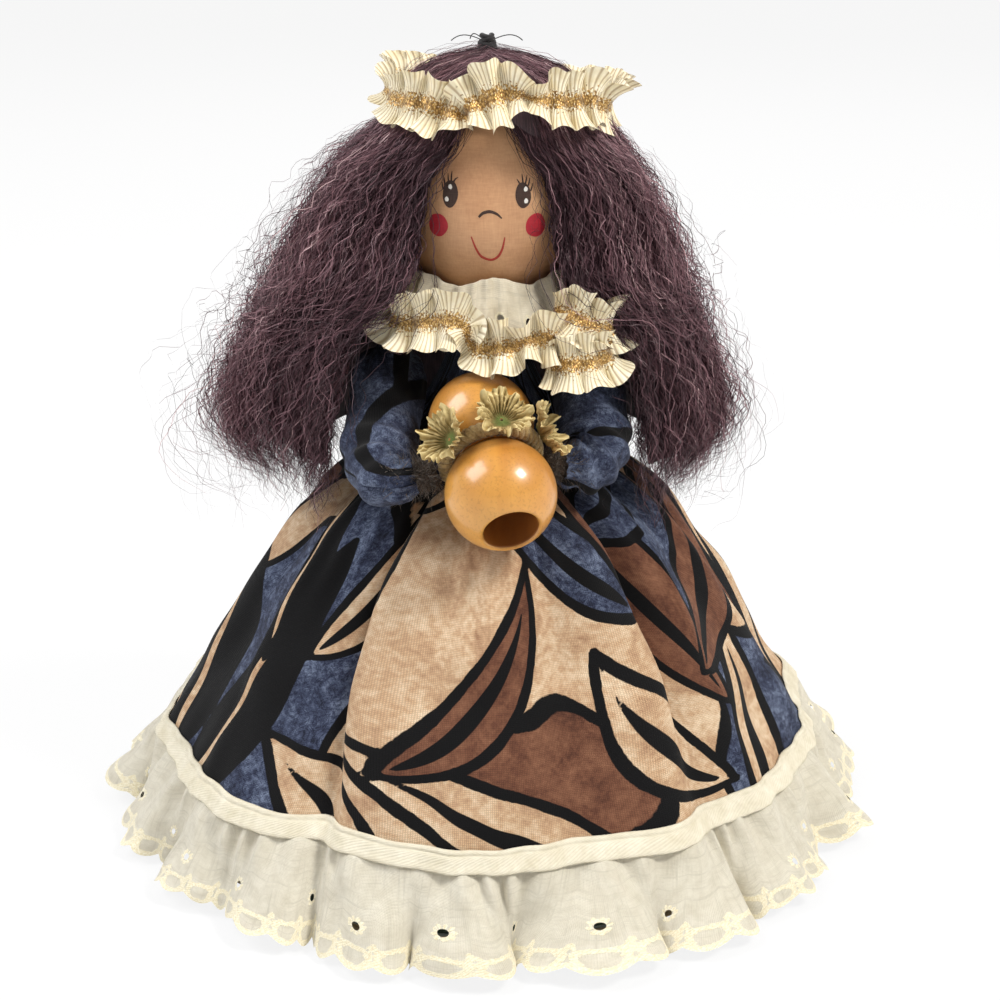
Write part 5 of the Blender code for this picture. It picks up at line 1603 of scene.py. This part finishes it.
def make_flower(name, angle, seed, node_name):
    """A ruffled straw flower: a fan of ridged petals round an olive middle."""
    outward = round_drum(angle)
    level = outward.cross(DRUM_AXIS).normalized()
    forward = level.cross(outward)
    rng = np.random.default_rng(seed)
    phases = rng.uniform(0, math.tau, 5)

    def place(u, v):
        azimuth = u * math.tau
        frill = np.sin(9 * azimuth + phases[0]) + 0.6 * np.sin(14 * azimuth + phases[1])
        size = 6.6 + 0.5 * np.sin(3 * azimuth + phases[2]) + 0.45 * np.sin(31 * azimuth + phases[3])
        radius = 0.4 + (size - 0.4) * v
        ridge = 0.3 * np.sin(30 * azimuth) * v
        rise = 13.9 + 2.9 * v**1.6 + 1.0 * v * v * frill + ridge - 0.9 * np.exp(-((v - 0.25) / 0.2) ** 2)
        rise += 0.4 * ripple(seed, azimuth * 8, v * 9, 4.0) * v
        rise += 0.3 * ripple(seed + 40, azimuth * 9, v * 8, 1.3) * v
        radius += 0.3 * ripple(seed + 80, azimuth * 9, v * 8, 1.6) * v
        spot = DRUM_WAIST + np.outer(rise, outward)
        return spot + np.outer(radius * np.cos(azimuth), level) + np.outer(radius * np.sin(azimuth), forward)

    def fields(u, v):
        # The rim share rises on each petal's ridge, so the straw is paler on the ridges and darker in the
        # grooves between them: painted light and shade
        return {"rim": np.clip(v + 0.4 * np.sin(30 * u * math.tau) * v - 0.1, 0, 1)}

    flower = cloth(name, 220, 20, place, STRAW, flat=lambda u, v: (u * 40, v * 8), fields=fields)
    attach(flower, "arms")
    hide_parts(node_name)


def make_garland():
    turn = np.linspace(0, math.tau, 240, endpoint=False)
    for number in range(3):
        twist = turn * 14 + number * math.tau / 3
        radius = 10.9 + np.cos(twist)
        path = DRUM_WAIST + np.outer(radius * np.cos(turn), DRUM_UP)
        path += np.outer(radius * np.sin(turn), DRUM_SIDE) + np.outer(np.sin(twist), DRUM_AXIS)
        cord = tube(f"garland_straw_{number}", path, 1.0, 9, STRAW_CORD, closed=True)
        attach(cord, "arms")
        if number == 0:
            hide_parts("ipu_garland")


def make_fuzz(name, path, seed):
    """Short fibres that stand out of a chenille stem."""
    rng = np.random.default_rng(seed)
    at = rng.uniform(0, len(path) - 1.001, FUZZ_COUNT)
    low = at.astype(int)
    base = path[low] + (path[low + 1] - path[low]) * (at - low)[:, None]
    run, level, up = path_frames(path)
    turn = rng.uniform(0, math.tau, FUZZ_COUNT)
    out = level[low] * np.cos(turn)[:, None] + up[low] * np.sin(turn)[:, None]
    bend = rng.normal(0, 0.5, (FUZZ_COUNT, 3))
    t = np.linspace(0, 1, 5)[None, :, None]
    reach = FUZZ_LENGTH * rng.uniform(0.5, 1.2, (FUZZ_COUNT, 1, 1))
    paths = base[:, None, :] + out[:, None, :] * (FUZZ_START + reach * t) + bend[:, None, :] * reach * t * t
    along = np.broadcast_to(run[low][:, None, :], paths.shape)
    piece = strand_piece(name, paths, along, turn, FUZZ_WIDTH, seed, CHENILLE)
    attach(piece, "arms")


def make_arms():
    for hand, side in HANDS:
        tip = DRUM_WAIST + np.array(round_drum(HOLD_TURN * side)) * TIP_REACH
        path = arm_path(side, 40)
        path = np.concatenate([path[6:], path[-1] + (tip - path[-1]) * np.linspace(0.15, 1, 8)[:, None]])
        radii = np.concatenate([np.full(len(path) - 2, STEM_RADIUS), [2.3, 1.2]])
        stem = tube(f"chenille_stem_{hand}", path, radii, 16, CHENILLE)
        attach(stem, "arms")
        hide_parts(f"arm_stem_{hand}")
        make_fuzz(f"chenille_fuzz_{hand}", path[-16:], 70 + side)


# Carried-over solids


def finish_solids():
    finishes = {"base_card": CARD, "body_cone": FOAM, "neck_dowel": PLAIN_WOOD, "ipu_peg": PLAIN_WOOD}
    for name, finish in finishes.items():
        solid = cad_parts[name]
        solid.data.materials.clear()
        solid.data.materials.append(finish)


set_stage()
finish_solids()
tape = make_tape()
dress = make_dress()
lace = make_lace()
collar = make_collar()
head_lei, neck_lei, lei_tail = make_leis()
for hand, side in HANDS:
    sleeve = make_sleeve(f"sleeve_cloth_{hand}", side)
    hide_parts(f"sleeve_{hand}")
make_head()
make_face()
make_hair()
make_knot()
make_gourd("upper_gourd", (-1.5, -32.3, 113.8), 12.75, "ipu_upper_gourd")
make_gourd("lower_gourd", (3.3, -50.4, 102.4), 13.25, "ipu_lower_gourd")
make_flower("straw_flower_right", -54, 21, "ipu_flower_right")
make_flower("straw_flower_centre", 3, 22, "ipu_flower_centre")
make_flower("straw_flower_left", 58, 23, "ipu_flower_left")
make_garland()
make_arms()
